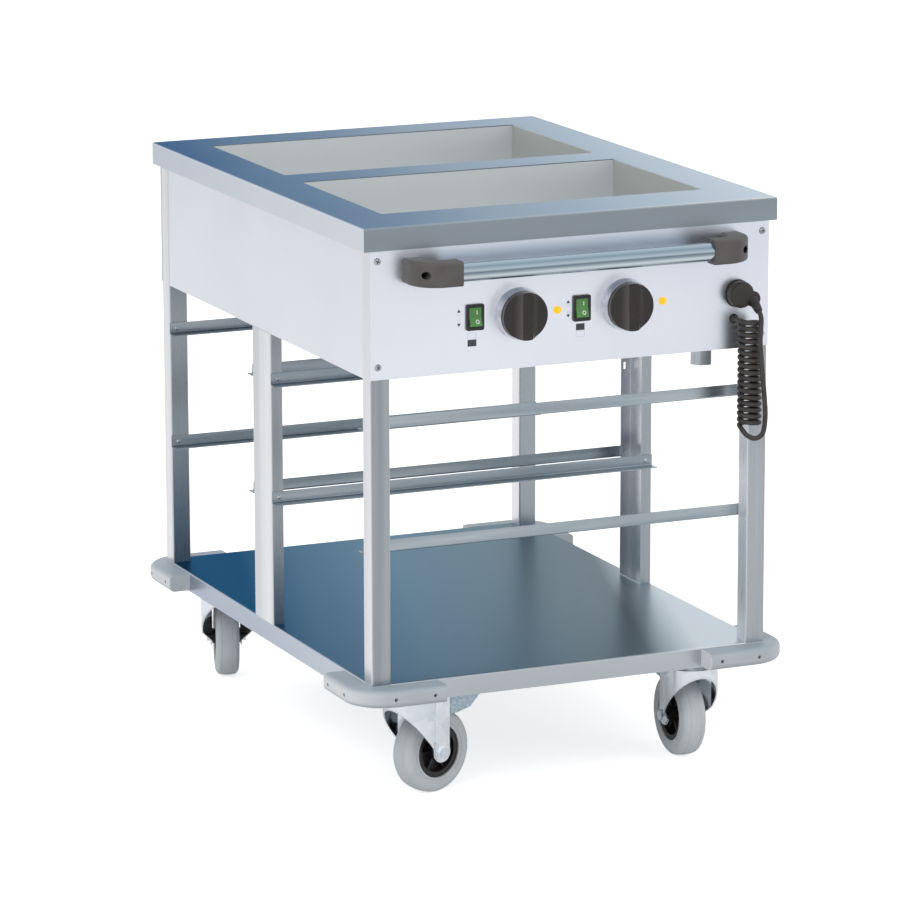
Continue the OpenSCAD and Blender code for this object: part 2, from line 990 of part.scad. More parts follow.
module screws() {
    color("silver")
        on_chassis() {
            for (x = [-1, 1], drop = panel_screw_drops) {
                out_of_panel(x * fixing_x, overall_h - drop)
                    pan_screw(panel_sheet + post_wall + screw_reach);
                translate([x * fixing_x, panel_y, overall_h - drop])
                    rotate([-90, 0, 0])
                        pan_screw(panel_sheet + post_wall + screw_reach);
            }
            for (x = [-1, 1])
                out_of_panel(x * handle_span / 2, handle_z, -panel_y - bracket_seat)
                    pan_screw(bracket_seat + panel_sheet + screw_reach);
            bumper_screw_places()
                translate([0, 0, -bumper_bore_depth]) {
                    cylinder(bumper_head_h, r = bumper_bore_r - 2 * pin_gap);
                    translate([0, 0, bumper_bore_depth - bumper_out - screw_reach / 2])
                        cylinder(bumper_out + screw_reach / 2 - bumper_bore_depth, r = bumper_screw_r);
                }
        }
}

// Handle

// Depth of bracket left under the screw head
bracket_seat = bracket_foot / 2;
bracket_bore_r = screw_head_r + 0.3;
tube_end_x = handle_span / 2 - elbow_mid_r - 2;

module handle_tube() {
    color("silver")
        on_chassis()
            translate([0, -handle_y, handle_z])
                rotate([0, 90, 0])
                    difference() {
                        cylinder(2 * tube_end_x, r = handle_r, center = true);
                        cylinder(2 * tube_end_x + cut, r = handle_r - handle_wall, center = true);
                    }
}

module bracket_section() {
    rounded_square(bracket_t, bracket_h, bracket_edge_r);
}

module handle_bracket(sx) {
    elbow_x = handle_span / 2 - elbow_mid_r;
    sleeve_x = elbow_x - bracket_sleeve;
    color("dimgray")
        on_chassis()
            in_quarter(sx, 1)
                difference() {
                    union() {
                        out_of_panel(handle_span / 2, handle_z)
                            linear_extrude(bracket_foot)
                                bracket_section();
                        translate([elbow_x, -panel_y - bracket_foot, handle_z])
                            rotate([0, 0, -90])
                                rotate_extrude(angle = 90)
                                    translate([elbow_mid_r, 0])
                                        bracket_section();
                        translate([elbow_x, -handle_y, handle_z])
                            rotate([90, 0, -90])
                                linear_extrude(bracket_sleeve)
                                    bracket_section();
                    }
                    translate([sleeve_x - cut, -handle_y, handle_z])
                        rotate([0, 90, 0])
                            cylinder(tube_end_x - sleeve_x + cut + pin_gap, r = handle_r + pin_gap);
                    out_of_panel(handle_span / 2, handle_z, -panel_y - bracket_seat)
                        cylinder(handle_y, r = bracket_bore_r);
                    out_of_panel(handle_span / 2, handle_z, -panel_y + cut)
                        cylinder(handle_y - panel_y, r = screw_r + pin_gap);
                }
}

module handle_bracket_left() {
    handle_bracket(-1);
}

module handle_bracket_right() {
    handle_bracket(1);
}

// Controls

// Frame on the panel and the switch body behind it, hollow for the rocker
module switch_frame(x) {
    hole_w = rocker_w + 2 * face_gap;
    hole_h = rocker_h + 2 * face_gap;
    body_w = hole_w + 2 * switch_wall;
    body_h = hole_h + 2 * switch_wall;
    difference() {
        union() {
            out_of_panel(x, control_z)
                linear_extrude(switch_rim)
                    rounded_square(switch_w, switch_h, switch_rim);
            out_of_panel(x, control_z, -panel_y + switch_depth)
                linear_extrude(switch_depth)
                    square([body_w, body_h], center = true);
        }
        out_of_panel(x, control_z, -panel_y + switch_depth - switch_wall)
            linear_extrude(switch_depth + switch_rim)
                square([hole_w, hole_h], center = true);
        translate([x, -rocker_axis_y, control_z])
            rotate([0, 90, 0])
                cylinder(rocker_w + 2 * switch_wall, r = rocker_pin_r + pin_gap, center = true);
    }
}

module switch_frames() {
    color("black")
        on_chassis()
            for (x = knob_places)
                switch_frame(x - switch_gap);
}

// Rocker section in depth and height: round ends about the pivot and a shallow V face
module rocker_section() {
    rise = rocker_face + rocker_half * tan(rocker_swing / 2);
    intersection() {
        circle(rocker_half);
        polygon([
            [-rocker_back, -rocker_half], [rise, -rocker_half], [rocker_face, 0],
            [rise, rocker_half], [-rocker_back, rocker_half]
        ]);
    }
}

module rocker(x) {
    color("seagreen")
        on_chassis()
            translate([x, -rocker_axis_y, control_z])
                rotate([-rocker_swing / 2, 0, 0])
                    rotate([0, 90, 0]) {
                        rotate([0, 0, -90])
                            linear_extrude(rocker_w, center = true)
                                rocker_section();
                        cylinder(rocker_w + 2 * switch_wall - 2 * pin_gap, r = rocker_pin_r,
                                 center = true);
                    }
}

module rocker_left() {
    rocker(knob_places[0] - switch_gap);
}

module rocker_right() {
    rocker(knob_places[1] - switch_gap);
}

// Conical ring round a knob, its base clamped to the panel
module dial_ring() {
    rotate_extrude()
        polygon([
            [bush_r + pin_gap, 0], [dial_r, 0], [dial_r, dial_wall], [dial_front_r, dial_depth],
            [dial_front_r - dial_wall, dial_depth], [dial_r - 2 * dial_wall, dial_wall],
            [bush_r + pin_gap, dial_wall]
        ]);
}

module dial_rings() {
    color("gainsboro")
        on_chassis()
            for (x = knob_places)
                out_of_panel(x, control_z)
                    dial_ring();
}

// What is cut from one side of the knob: a hollow flank that runs out flat to the rim
module knob_scoop() {
    scoop_r = knob_depth;
    front = knob_depth - knob_disc;
    translate([grip_w / 2 + scoop_r, knob_disc + scoop_r])
        circle(scoop_r);
    translate([grip_w / 2 + scoop_r, knob_disc])
        square([knob_r, front + cut]);
    translate([grip_w / 2, knob_disc + scoop_r])
        square([knob_r, scoop_r]);
}

module knob(x) {
    back = dial_depth + face_gap;
    color("dimgray")
        on_chassis()
            out_of_panel(x, control_z) {
                translate([0, 0, back])
                    difference() {
                        union() {
                            cylinder(knob_depth - knob_bevel, r = knob_r);
                            translate([0, 0, knob_depth - knob_bevel])
                                cylinder(knob_bevel, r1 = knob_r, r2 = knob_r - knob_bevel);
                        }
                        for (side = [-1, 1])
                            mirror([side < 0 ? 1 : 0, 0, 0])
                                rotate([90, 0, 0])
                                    linear_extrude(2 * knob_r + cut, center = true)
                                        knob_scoop();
                    }
                translate([0, 0, back - knob_boss_h])
                    cylinder(knob_boss_h, r = knob_boss_r);
                translate([0, 0, -thermostat_depth / 2])
                    cylinder(back + thermostat_depth / 2, r = spindle_r);
            }
}

module knob_left() {
    knob(knob_places[0]);
}

module knob_right() {
    knob(knob_places[1]);
}

// Dome on the panel and its body through it
module pilot_lamp() {
    rotate_extrude() {
        square([lamp_r, lamp_r / 4]);
        intersection() {
            translate([0, lamp_r / 4])
                scale([1, 0.8])
                    circle(lamp_r * 0.85);
            square([lamp_r, 2 * lamp_r]);
        }
    }
    translate([0, 0, -panel_sheet - lamp_body_l])
        cylinder(panel_sheet + lamp_body_l, r = lamp_body_r);
}

module pilot_lamps() {
    color("gold")
        on_chassis()
            for (x = knob_places)
                out_of_panel(x + lamp_gap, control_z)
                    pilot_lamp();
}

// Switch body behind the panel with a threaded bush; the knob's spindle turns inside
module thermostat() {
    bush_l = panel_sheet + dial_wall + nut_h;
    difference() {
        union() {
            translate([0, 0, -panel_sheet - thermostat_depth])
                linear_extrude(thermostat_depth)
                    rounded_square(thermostat_side, thermostat_side, nut_h);
            translate([0, 0, -panel_sheet])
                cylinder(bush_l, r = bush_r);
        }
        translate([0, 0, -thermostat_depth / 2 - cut])
            cylinder(thermostat_depth + bush_l, r = spindle_r + pin_gap);
    }
    translate([0, 0, dial_wall])
        difference() {
            cylinder(nut_h, r = nut_r, $fn = 6);
            translate([0, 0, -cut])
                cylinder(nut_h + 2 * cut, r = bush_r + pin_gap);
        }
}

module thermostats() {
    color("white")
        on_chassis()
            for (x = knob_places)
                out_of_panel(x, control_z)
                    thermostat();
}

// Heating and drain

module heater_mats() {
    color("darkorange")
        on_chassis()
            for (y = [well_front_y, well_rear_y])
                translate([0, y, well_bottom - mat_h])
                    linear_extrude(mat_h)
                        difference() {
                            rounded_square(well_w - 2 * mat_margin, well_d - 2 * mat_margin, drain_r);
                            circle(drain_r + 2 * mat_h);
                        }
}

// Pipe bodies of radius r: a tail from each well, a line along Y, one along X and the outlet
module pipe_run(r, over) {
    tail_h = well_bottom - pipe_z;
    for (y = [well_front_y, well_rear_y])
        translate([0, y, pipe_z])
            cylinder(tail_h + over, r = r);
    translate([0, outlet_y, pipe_z])
        rotate([-90, 0, 0])
            cylinder(well_rear_y - outlet_y, r = r);
    translate([0, outlet_y, pipe_z])
        rotate([0, 90, 0])
            cylinder(outlet_x, r = r);
    translate([outlet_x, outlet_y, floor_under - outlet_flange_h - outlet_h - over])
        cylinder(pipe_z - floor_under + outlet_flange_h + outlet_h + over, r = r);
    for (at = [[0, well_rear_y], [0, outlet_y], [outlet_x, outlet_y]])
        translate([at.x, at.y, pipe_z])
            sphere(r);
}

module drain_pipe() {
    color("silver")
        on_chassis()
            difference() {
                union() {
                    pipe_run(pipe_r, 0);
                    for (y = [well_front_y, well_rear_y])
                        translate([0, y, well_bottom - mat_h])
                            cylinder(mat_h, r = drain_r + mat_h);
                    translate([outlet_x, outlet_y, floor_under - outlet_flange_h])
                        cylinder(outlet_flange_h, r = outlet_r);
                    translate([outlet_x, outlet_y, floor_under - outlet_flange_h - outlet_h])
                        cylinder(outlet_h, r = outlet_r, $fn = 6);
                }
                pipe_run(pipe_r - pipe_wall, cut);
            }
}

// Parking socket, plug and gland

module contact_places() {
    for (x = [-1, 1])
        translate([x * contact_gap / 2, 0, 0])
            children();
}

module parking_socket() {
    color("dimgray")
        on_chassis()
            out_of_panel(plug_x, plug_z)
                difference() {
                    union() {
                        cylinder(socket_flange_h, r = socket_r);
                        cylinder(socket_h, r = socket_collar_r);
                        translate([0, 0, -panel_sheet - socket_body_l])
                            cylinder(panel_sheet + socket_body_l, r = socket_body_r);
                    }
                    translate([0, 0, socket_h - contact_l - cut])
                        contact_places()
                            cylinder(contact_l + 2 * cut, r = contact_r + pin_gap);
                }
}

// Round plug with a side lobe from which the strain relief slants down beside the coil
module plug() {
    color("dimgray")
        on_chassis() {
            out_of_panel(plug_x, plug_z, -panel_y - socket_h) {
                rotate_extrude() {
                    square([plug_r, plug_h - plug_round]);
                    square([plug_r - plug_round, plug_h]);
                    translate([plug_r - plug_round, plug_h - plug_round])
                        intersection() {
                            circle(plug_round);
                            square(plug_round);
                        }
                }
                translate([0, 0, plug_round])
                    linear_extrude(lobe_h) {
                        translate(lobe_at)
                            circle(lobe_r);
                        rotate(atan2(lobe_at.y, lobe_at.x))
                            translate([0, -lobe_r])
                                square([norm(lobe_at), 2 * lobe_r]);
                    }
                translate([0, 0, -contact_l])
                    contact_places()
                        cylinder(contact_l, r = contact_r);
            }
            translate(relief_from)
                rotate([0, acos(relief_dir.z), atan2(relief_dir.y, relief_dir.x)])
                    cylinder(relief_h, r1 = relief_r + 1, r2 = relief_r - 1);
        }
}

module cord_gland() {
    color("dimgray")
        on_chassis()
            out_of_panel(gland_x, gland_z) {
                cylinder(gland_flange_h, r = gland_r);
                cylinder(gland_l, r1 = relief_r, r2 = cord_r + 0.5);
                translate([0, 0, -panel_sheet - gland_body_l])
                    cylinder(panel_sheet + gland_body_l, r = relief_r);
            }
}

// Cord

// Drop after t turns: an even pitch that eases in and out level
function curl_drop(t) =
    t < curl_ease ? curl_pitch * t * t / (2 * curl_ease) :
    t > curl_turns - curl_ease ?
        curl_pitch * (curl_turns - curl_ease - pow(curl_turns - t, 2) / (2 * curl_ease)) :
    curl_pitch * (t - curl_ease / 2);

function curl_point(t) =
    let (a = curl_start + 360 * t)
    [curl_x + curl_r * cos(a), curl_y + curl_r * sin(a), gland_z - curl_drop(t)];

// Middle line of the curly cord with a straight run at each end
curl_count = ceil(curl_turns * curl_steps);
curl_line = concat(
    [[gland_x, -panel_y - gland_l, gland_z]],
    [for (i = [0:curl_count]) curl_point(i * curl_turns / curl_count)],
    [curl_point(curl_turns) + curl_tail * curl_way]
);

// The lead goes on straight from the last curl and ends straight on the relief, face to face
relief_end = relief_from + relief_h * relief_dir;
lead_line = concat(
    [for (k = [1, 2]) curl_point(curl_turns) + k * curl_tail * curl_way],
    lead_points,
    [relief_end + lead_tail * relief_dir, relief_end]
);

function unit(v) = v / norm(v);

// Direction of a line at its point i
function heading(line, i) =
    let (last = len(line) - 1)
    i == 0 ? unit(line[1] - line[0]) :
    i == last ? unit(line[last] - line[last - 1]) :
    unit(unit(line[i + 1] - line[i]) + unit(line[i] - line[i - 1]));

// A direction square to d that stays near side as the line goes on
function squared(side, d) = unit(side - (side * d) * d);

function sides_along(line, side, i = 0) =
    i == len(line) ? [] :
    let (s = squared(side, heading(line, i)))
    concat([s], sides_along(line, s, i + 1));

// Tube of radius r along a line of points, closed at both ends
module tube_along(line, r, sides, first_side) {
    across = sides_along(line, first_side);
    rings = len(line);
    points = [
        for (i = [0:rings - 1])
            let (d = heading(line, i), u = across[i], v = cross(d, u))
            for (k = [0:sides - 1])
                line[i] + r * (cos(360 * k / sides) * u + sin(360 * k / sides) * v)
    ];
    walls = [
        for (i = [0:rings - 2], k = [0:sides - 1])
            let (a = i * sides + k, b = i * sides + (k + 1) % sides)
            each [[a, b + sides, b], [a, a + sides, b + sides]]
    ];
    start_cap = [for (k = [1:sides - 2]) [0, k, k + 1]];
    base = (rings - 1) * sides;
    end_cap = [for (k = [1:sides - 2]) [base, base + k + 1, base + k]];
    polyhedron(points, concat(start_cap, walls, end_cap));
}

// Least gap of the curls to each other, measured on the middle line
curl_gaps = [
    for (i = [0:len(curl_line) - 1])
        for (j = [i + curl_steps / 2:1:min(i + 2 * curl_steps, len(curl_line) - 1)])
            norm(curl_line[i] - curl_line[j]) - 2 * cord_r
];
echo(least_gap_between_curls = min(curl_gaps));

module curly_cord() {
    color("dimgray")
        on_chassis()
            tube_along(curl_line, cord_r, curl_sides, [1, 0, 0]);
}

module cord_lead() {
    color("dimgray")
        on_chassis()
            tube_along(lead_line, cord_r, lead_sides, [0, 0, 1]);
}

// Castors

module bolt_circle() {
    for (x = [-1, 1], y = [-1, 1])
        translate([x * plate_holes.x / 2, y * plate_holes.y / 2, 0])
            children();
}

module castor_plates() {
    color("silver")
        on_chassis()
            for (c = CASTORS)
                translate([c[0], c[1], plate_under])
                    difference() {
                        linear_extrude(plate_h)
                            rounded_square(plate_w, plate_d, plate_r);
                        translate([0, 0, -cut]) {
                            cylinder(plate_h + 2 * cut, r = kingpin_r + pin_gap);
                            bolt_circle()
                                cylinder(plate_h + 2 * cut, r = bolt_r + pin_gap);
                        }
                    }
}

// Kingpin with the upper race, and the four bolts with their nuts
module castor_pins() {
    pin_foot = crown_top - fork_sheet - face_gap - kingpin_head_h;
    color("silver")
        on_chassis()
            for (c = CASTORS)
                translate([c[0], c[1], 0]) {
                    translate([0, 0, pin_foot])
                        cylinder(kingpin_head_h, r = kingpin_head_r);
                    translate([0, 0, pin_foot])
                        cylinder(castor_h - pin_foot, r = kingpin_r);
                    translate([0, 0, plate_under - race_h])
                        cylinder(race_h, r = race_r);
                    bolt_circle() {
                        translate([0, 0, plate_under - bolt_head_h])
                            cylinder(bolt_head_h, r = bolt_head_r, $fn = 6);
                        translate([0, 0, plate_under - bolt_head_h])
                            cylinder(bolt_head_h + plate_h + member_sheet + bolt_nut_h, r = bolt_r);
                        translate([0, 0, castor_h + member_sheet])
                            cylinder(bolt_nut_h, r = bolt_head_r, $fn = 6);
                    }
                }
}

// Moves a piece from its castor's swivel axis, with the wheel trailing along X, into place
module at_castor(c) {
    on_chassis()
        translate([c[0], c[1], 0])
            rotate([0, 0, c[2]])
                children();
}

// Plan of the hood: round about the swivel axis, drawn in to two flat legs
module hood_plan(r, half, to) {
    intersection() {
        circle(r, $fn = 96);
        translate([-r, -r])
            square([r + taper_from, 2 * r]);
    }
    shoulder = sqrt(r * r - taper_from * taper_from);
    polygon([
        [taper_from, -shoulder], [leg_from, -half], [to, -half],
        [to, half], [leg_from, half], [taper_from, shoulder]
    ]);
}

// Side outline of the fork: upright behind, round under the axle, rising to the front
module fork_side(low_x, low_z, top) {
    axle = [castor_trail, wheel_r];
    front = [low_x, low_z];
    reach = norm(axle - front);
    slope = atan2(axle.y - front.y, axle.x - front.x) - asin(leg_end_r / reach);
    touch = front + sqrt(reach * reach - leg_end_r * leg_end_r) * [cos(slope), sin(slope)];
    translate(axle)
        circle(leg_end_r);
    polygon([
        [front.x, top], front, touch, axle, [leg_to, axle.y], [leg_to, top]
    ]);
}

module along_side(half) {
    rotate([90, 0, 0])
        linear_extrude(2 * half, center = true)
            children();
}

// Outer straps of a braked castor, over the legs from the axle to the pedal's pivot
module brake_straps() {
    difference() {
        along_side(leg_half + strap_sheet) {
            translate([castor_trail, wheel_r])
                circle(leg_end_r - strap_sheet / 2);
            translate([strap_from, wheel_r])
                square([leg_to - strap_from, strap_top - wheel_r]);
        }
        along_side(leg_half)
            square([2 * hood_r, 2 * castor_h], center = true);
        translate([-hood_r, -leg_half, 0])
            cube([4 * hood_r, 2 * leg_half, castor_h]);
    }
}

module fork(c) {
    hood_bottom = wheel_r - leg_end_r;
    front_x = -hood_r;
    front_z = wheel_r + hood_lift;
    outside = leg_half + (c[3] ? strap_sheet : 0);
    color("whitesmoke")
        at_castor(c) {
            difference() {
                union() {
                    intersection() {
                        translate([0, 0, hood_bottom])
                            linear_extrude(crown_top - hood_bottom)
                                hood_plan(hood_r, leg_half, leg_to);
                        along_side(hood_r + cut)
                            fork_side(front_x, front_z, crown_top);
                    }
                    translate([0, 0, crown_top])
                        cylinder(race_h - face_gap, r = race_r - cut);
                    if (c[3])
                        brake_straps();
                }
                translate([0, 0, hood_bottom - cut])
                    linear_extrude(crown_top - fork_sheet - hood_bottom + cut)
                        hood_plan(hood_r - fork_sheet, leg_half - fork_sheet, 2 * leg_to);
                translate([leg_from + fork_sheet, -leg_half + fork_sheet, crown_top - 2 * fork_sheet])
                    cube([leg_to, 2 * (leg_half - fork_sheet), 3 * fork_sheet + castor_h]);
                translate([0, 0, crown_top - 2 * fork_sheet])
                    cylinder(2 * fork_sheet + race_h, r = kingpin_r + pin_gap);
                translate([castor_trail, 0, wheel_r])
                    rotate([90, 0, 0])
                        cylinder(2 * outside + cut, r = axle_r + pin_gap, center = true);
                if (c[3])
                    translate([pivot_x, 0, pivot_z])
                        rotate([90, 0, 0])
                            cylinder(2 * outside + cut, r = pivot_r + pin_gap, center = true);
            }
            translate([castor_trail, 0, wheel_r])
                rotate([90, 0, 0]) {
                    cylinder(2 * outside, r = axle_r, center = true);
                    for (side = [-1, 1])
                        translate([0, 0, side * (outside + axle_head_h / 2)])
                            cylinder(axle_head_h, r = axle_head_r, $fn = side < 0 ? 6 : 48,
                                     center = true);
                }
        }
}

module fork_front_left() {
    fork(front_left);
}

module fork_front_right() {
    fork(front_right);
}

module fork_rear_left() {
    fork(rear_left);
}

module fork_rear_right() {
    fork(rear_right);
}

// Section of the wheel's tyre: radius along X, width along Y
module tyre_section() {
    depth = wheel_r - hub_r;
    difference() {
        intersection() {
            translate([hub_r, -tyre_w / 2])
                square([depth - shoulder_r, tyre_w]);
            translate([wheel_r - crown_r, 0])
                circle(crown_r, $fn = 180);
        }
        side_grooves(depth);
    }
    difference() {
        intersection() {
            union() {
                translate([wheel_r - shoulder_r - cut, -tyre_w / 2 + shoulder_r])
                    square([shoulder_r + cut, tyre_w - 2 * shoulder_r]);
                for (side = [-1, 1])
                    translate([wheel_r - shoulder_r, side * (tyre_w / 2 - shoulder_r)])
                        circle(shoulder_r);
            }
            translate([wheel_r - crown_r, 0])
                circle(crown_r, $fn = 180);
        }
        for (side = [-1, 1])
            translate([wheel_r, side * groove_w_share * tyre_w])
                circle(groove_r);
    }
}

module side_grooves(depth) {
    for (side = [-1, 1], share = side_groove_shares)
        translate([hub_r + share * depth, side * tyre_w / 2])
            circle(groove_r);
}

module at_axle(c) {
    at_castor(c)
        translate([castor_trail, 0, wheel_r])
            rotate([90, 0, 0])
                children();
}

module tyre(c) {
    color("silver")
        at_axle(c)
            rotate_extrude($fn = 96)
                tyre_section();
}

module tyre_front_left() {
    tyre(front_left);
}

module tyre_front_right() {
    tyre(front_right);
}

module tyre_rear_left() {
    tyre(rear_left);
}

module tyre_rear_right() {
    tyre(rear_right);
}

// Rim, web and boss of a hub, with ribs on both sides of the web
module hub(c) {
    rim_inner_r = hub_r - hub_rim_t;
    color("dimgray")
        at_axle(c)
            difference() {
                union() {
                    rotate_extrude($fn = 96) {
                        translate([rim_inner_r, -hub_rim_half])
                            square([hub_rim_t - pin_gap, 2 * hub_rim_half]);
                        translate([0, -hub_web_half])
                            square([rim_inner_r + cut, 2 * hub_web_half]);
                        translate([0, -hub_half])
                            square([hub_boss_r, 2 * hub_half]);
                    }
                    for (i = [0:hub_ribs - 1])
                        rotate([0, 0, i * 360 / hub_ribs])
                            translate([0, -hub_rib_t / 2, -hub_rib_half])
                                cube([rim_inner_r + cut, hub_rib_t, 2 * hub_rib_half]);
                }
                cylinder(2 * hub_half + cut, r = axle_r + pin_gap, center = true);
            }
}

module hub_front_left() {
    hub(front_left);
}

module hub_front_right() {
    hub(front_right);
}

module hub_rear_left() {
    hub(rear_left);
}

module hub_rear_right() {
    hub(rear_right);
}

// Side outline of a brake pedal from its pivot to its tip
module pedal_outline() {
    start = [pivot_x - pedal_boss_r, pedal_low];
    span = [pedal_reach, pedal_top] - start;
    polygon([for (s = pedal_shares) [start.x + s.x * span.x, start.y + s.y * span.y]]);
    translate([pivot_x, pivot_z])
        circle(pedal_boss_r);
}

module brake_pedal(c) {
    color("silver")
        at_castor(c) {
            difference() {
                along_side(pedal_half)
                    pedal_outline();
                translate([-cut, -pedal_half + pedal_sheet, 0])
                    cube([pedal_reach - pedal_sheet + cut, 2 * (pedal_half - pedal_sheet),
                          pedal_top - pedal_sheet]);
            }
            translate([pivot_x, 0, pivot_z])
                rotate([90, 0, 0])
                    cylinder(2 * (leg_half + strap_sheet) - 2 * pin_gap, r = pivot_r, center = true);
            intersection() {
                translate([shoe_from, -shoe_w / 2, wheel_r])
                    cube([shoe_l, shoe_w, pedal_top - wheel_r - pedal_sheet / 2]);
                difference() {
                    translate([0, -castor_h, 0])
                        cube(2 * castor_h);
                    translate([castor_trail, 0, wheel_r])
                        rotate([90, 0, 0])
                            cylinder(2 * shoe_w, r = wheel_r + shoe_gap, center = true, $fn = 96);
                }
            }
        }
}

module brake_pedal_left() {
    brake_pedal(front_left);
}

module brake_pedal_right() {
    brake_pedal(front_right);
}

worktop();
well_front();
well_rear();
front_panel();
rear_panel();
side_panel_left();
side_panel_right();
housing_floor();
post_front_left();
post_front_right();
post_rear_left();
post_rear_right();
channel_post_left();
channel_post_right();
bottom_shelf();
cross_members();
bumper_front_left();
bumper_front_right();
bumper_rear_left();
bumper_rear_right();
runners_front();
runners_middle_front();
runners_middle_rear();
runners_rear();
rivets();
screws();
handle_tube();
handle_bracket_left();
handle_bracket_right();
switch_frames();
rocker_left();
rocker_right();
dial_rings();
knob_left();
knob_right();
pilot_lamps();
thermostats();
heater_mats();
drain_pipe();
parking_socket();
plug();
cord_gland();
curly_cord();
cord_lead();
castor_plates();
castor_pins();
fork_front_left();
fork_front_right();
fork_rear_left();
fork_rear_right();
hub_front_left();
hub_front_right();
hub_rear_left();
hub_rear_right();
tyre_front_left();
tyre_front_right();
tyre_rear_left();
tyre_rear_right();
brake_pedal_left();
brake_pedal_right();
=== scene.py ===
import math

import bmesh
import bpy
from mathutils import Matrix, Vector


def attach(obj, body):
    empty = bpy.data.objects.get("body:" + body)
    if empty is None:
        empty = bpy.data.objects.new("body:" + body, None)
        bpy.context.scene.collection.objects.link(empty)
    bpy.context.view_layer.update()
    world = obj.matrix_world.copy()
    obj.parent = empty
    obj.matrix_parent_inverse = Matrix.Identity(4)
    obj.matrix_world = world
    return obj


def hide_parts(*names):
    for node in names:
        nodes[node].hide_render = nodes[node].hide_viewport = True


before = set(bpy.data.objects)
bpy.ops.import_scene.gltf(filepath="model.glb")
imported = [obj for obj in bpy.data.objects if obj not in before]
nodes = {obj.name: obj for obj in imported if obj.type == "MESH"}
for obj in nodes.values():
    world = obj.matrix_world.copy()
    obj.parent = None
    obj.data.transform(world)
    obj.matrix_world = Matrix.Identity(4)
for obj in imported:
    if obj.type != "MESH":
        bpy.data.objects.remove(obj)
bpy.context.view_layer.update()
print("frame loaded:", len(nodes), "solids")

castorNames = ["front_left", "front_right", "rear_left", "rear_right"]
frameShift = 15  # the middle of the post frame lies this far behind the origin, mm


# a point in mm from the middle of the post frame, turned into metres from the origin
def at(x, y, z):
    return Vector((x, y + frameShift, z)) / 1000


# a colour as it is seen on screen, turned into the values a shader takes by the sRGB curve
def paint(code):
    parts = [int(code[i:i + 2], 16) / 255 for i in (1, 3, 5)]
    return [p / 12.92 if p <= 0.04045 else ((p + 0.055) / 1.055) ** 2.4 for p in parts] + [1]


# camera

cameraLook = {
    "target": (-0.00823, 0.015, 0.42284),
    "azimuth": -23.631,
    "elevation": 12.568,
    "roll": -0.146,
    "distance": 7.5725,
    "lens": 199.45,
    "sensor": 36,
    "farthest": 100,
}


def addCamera(look):
    azimuth, elevation = math.radians(look["azimuth"]), math.radians(look["elevation"])
    roll = math.radians(look["roll"])
    back = Vector((math.sin(azimuth) * math.cos(elevation),
                   -math.cos(azimuth) * math.cos(elevation), math.sin(elevation)))
    right = Vector((math.cos(azimuth), math.sin(azimuth), 0))
    up = back.cross(right)
    across = right * math.cos(roll) + up * math.sin(roll)
    upright = up * math.cos(roll) - right * math.sin(roll)
    camera = bpy.data.objects.new("camera", bpy.data.cameras.new("camera"))
    bpy.context.scene.collection.objects.link(camera)
    spot = Vector(look["target"]) + back * look["distance"]
    turn = Matrix((across, upright, back)).transposed().to_4x4()
    camera.matrix_world = Matrix.Translation(spot) @ turn
    camera.data.sensor_width = look["sensor"]
    camera.data.lens = look["lens"]
    camera.data.clip_end = look["farthest"]
    bpy.context.scene.camera = camera


addCamera(cameraLook)
print("camera set")


# node helpers for the finishes

grainDepth = 0.0002  # how deep a brushed grain is, m
pitDepth = 0.0003  # how deep the pits of a moulded face are, m

# how far a finish's pattern takes its roughness down and up
swingOf = {
    "brushed": (0.05, 0.07),
    "well": (0.06, 0.08),
    "handle": (0.05, 0.08),
    "moulded": (0.06, 0.08),
    "cord": (0.08, 0.12),
    "plated": (0.04, 0.08),
    "spangled": (0.06, 0.12),
    "ink": (0.08, 0.08),
}


def startFinish(name, base, roughness, metallic=0.0):
    finish = bpy.data.materials.new(name)
    finish.use_nodes = True
    shader = finish.node_tree.nodes["Principled BSDF"]
    shader.inputs["Base Color"].default_value = paint(base)
    shader.inputs["Roughness"].default_value = roughness
    shader.inputs["Metallic"].default_value = metallic
    return finish, finish.node_tree, shader


def mathNode(tree, kind, first, second):
    node = tree.nodes.new("ShaderNodeMath")
    node.operation = kind
    for socket, value in zip(node.inputs, (first, second)):
        if isinstance(value, (int, float)):
            socket.default_value = value
        else:
            tree.links.new(value, socket)
    return node.outputs[0]


# noise on the piece itself; a small stretch along one axis draws it out that way
def noiseOn(tree, stretch, detail=3.0):
    place = tree.nodes.new("ShaderNodeTexCoord")
    mapping = tree.nodes.new("ShaderNodeMapping")
    mapping.inputs["Scale"].default_value = stretch
    noise = tree.nodes.new("ShaderNodeTexNoise")
    noise.inputs["Scale"].default_value = 1
    noise.inputs["Detail"].default_value = detail
    tree.links.new(place.outputs["Object"], mapping.inputs["Vector"])
    tree.links.new(mapping.outputs["Vector"], noise.inputs["Vector"])
    return noise.outputs["Fac"]


def rampOf(tree, value, stops):
    ramp = tree.nodes.new("ShaderNodeValToRGB")
    for place, code in stops[2:]:
        ramp.color_ramp.elements.new(place)
    for element, (place, code) in zip(ramp.color_ramp.elements, sorted(stops)):
        element.position = place
        element.color = paint(code)
    tree.links.new(value, ramp.inputs["Fac"])
    return ramp.outputs["Color"]


# two tints that follow a pattern: all dark up to low, all light from high on
def tinted(tree, pattern, dark, light, low=0.3, high=0.7):
    return rampOf(tree, pattern, [(low, dark), (high, light)])


# 0 to 1 between two values of another number
def spread(tree, value, low, high, toLow=0.0, toHigh=1.0):
    node = tree.nodes.new("ShaderNodeMapRange")
    tree.links.new(value, node.inputs["Value"])
    ends = {"From Min": low, "From Max": high, "To Min": toLow, "To Max": toHigh}
    for name, number in ends.items():
        node.inputs[name].default_value = number
    return node.outputs["Result"]


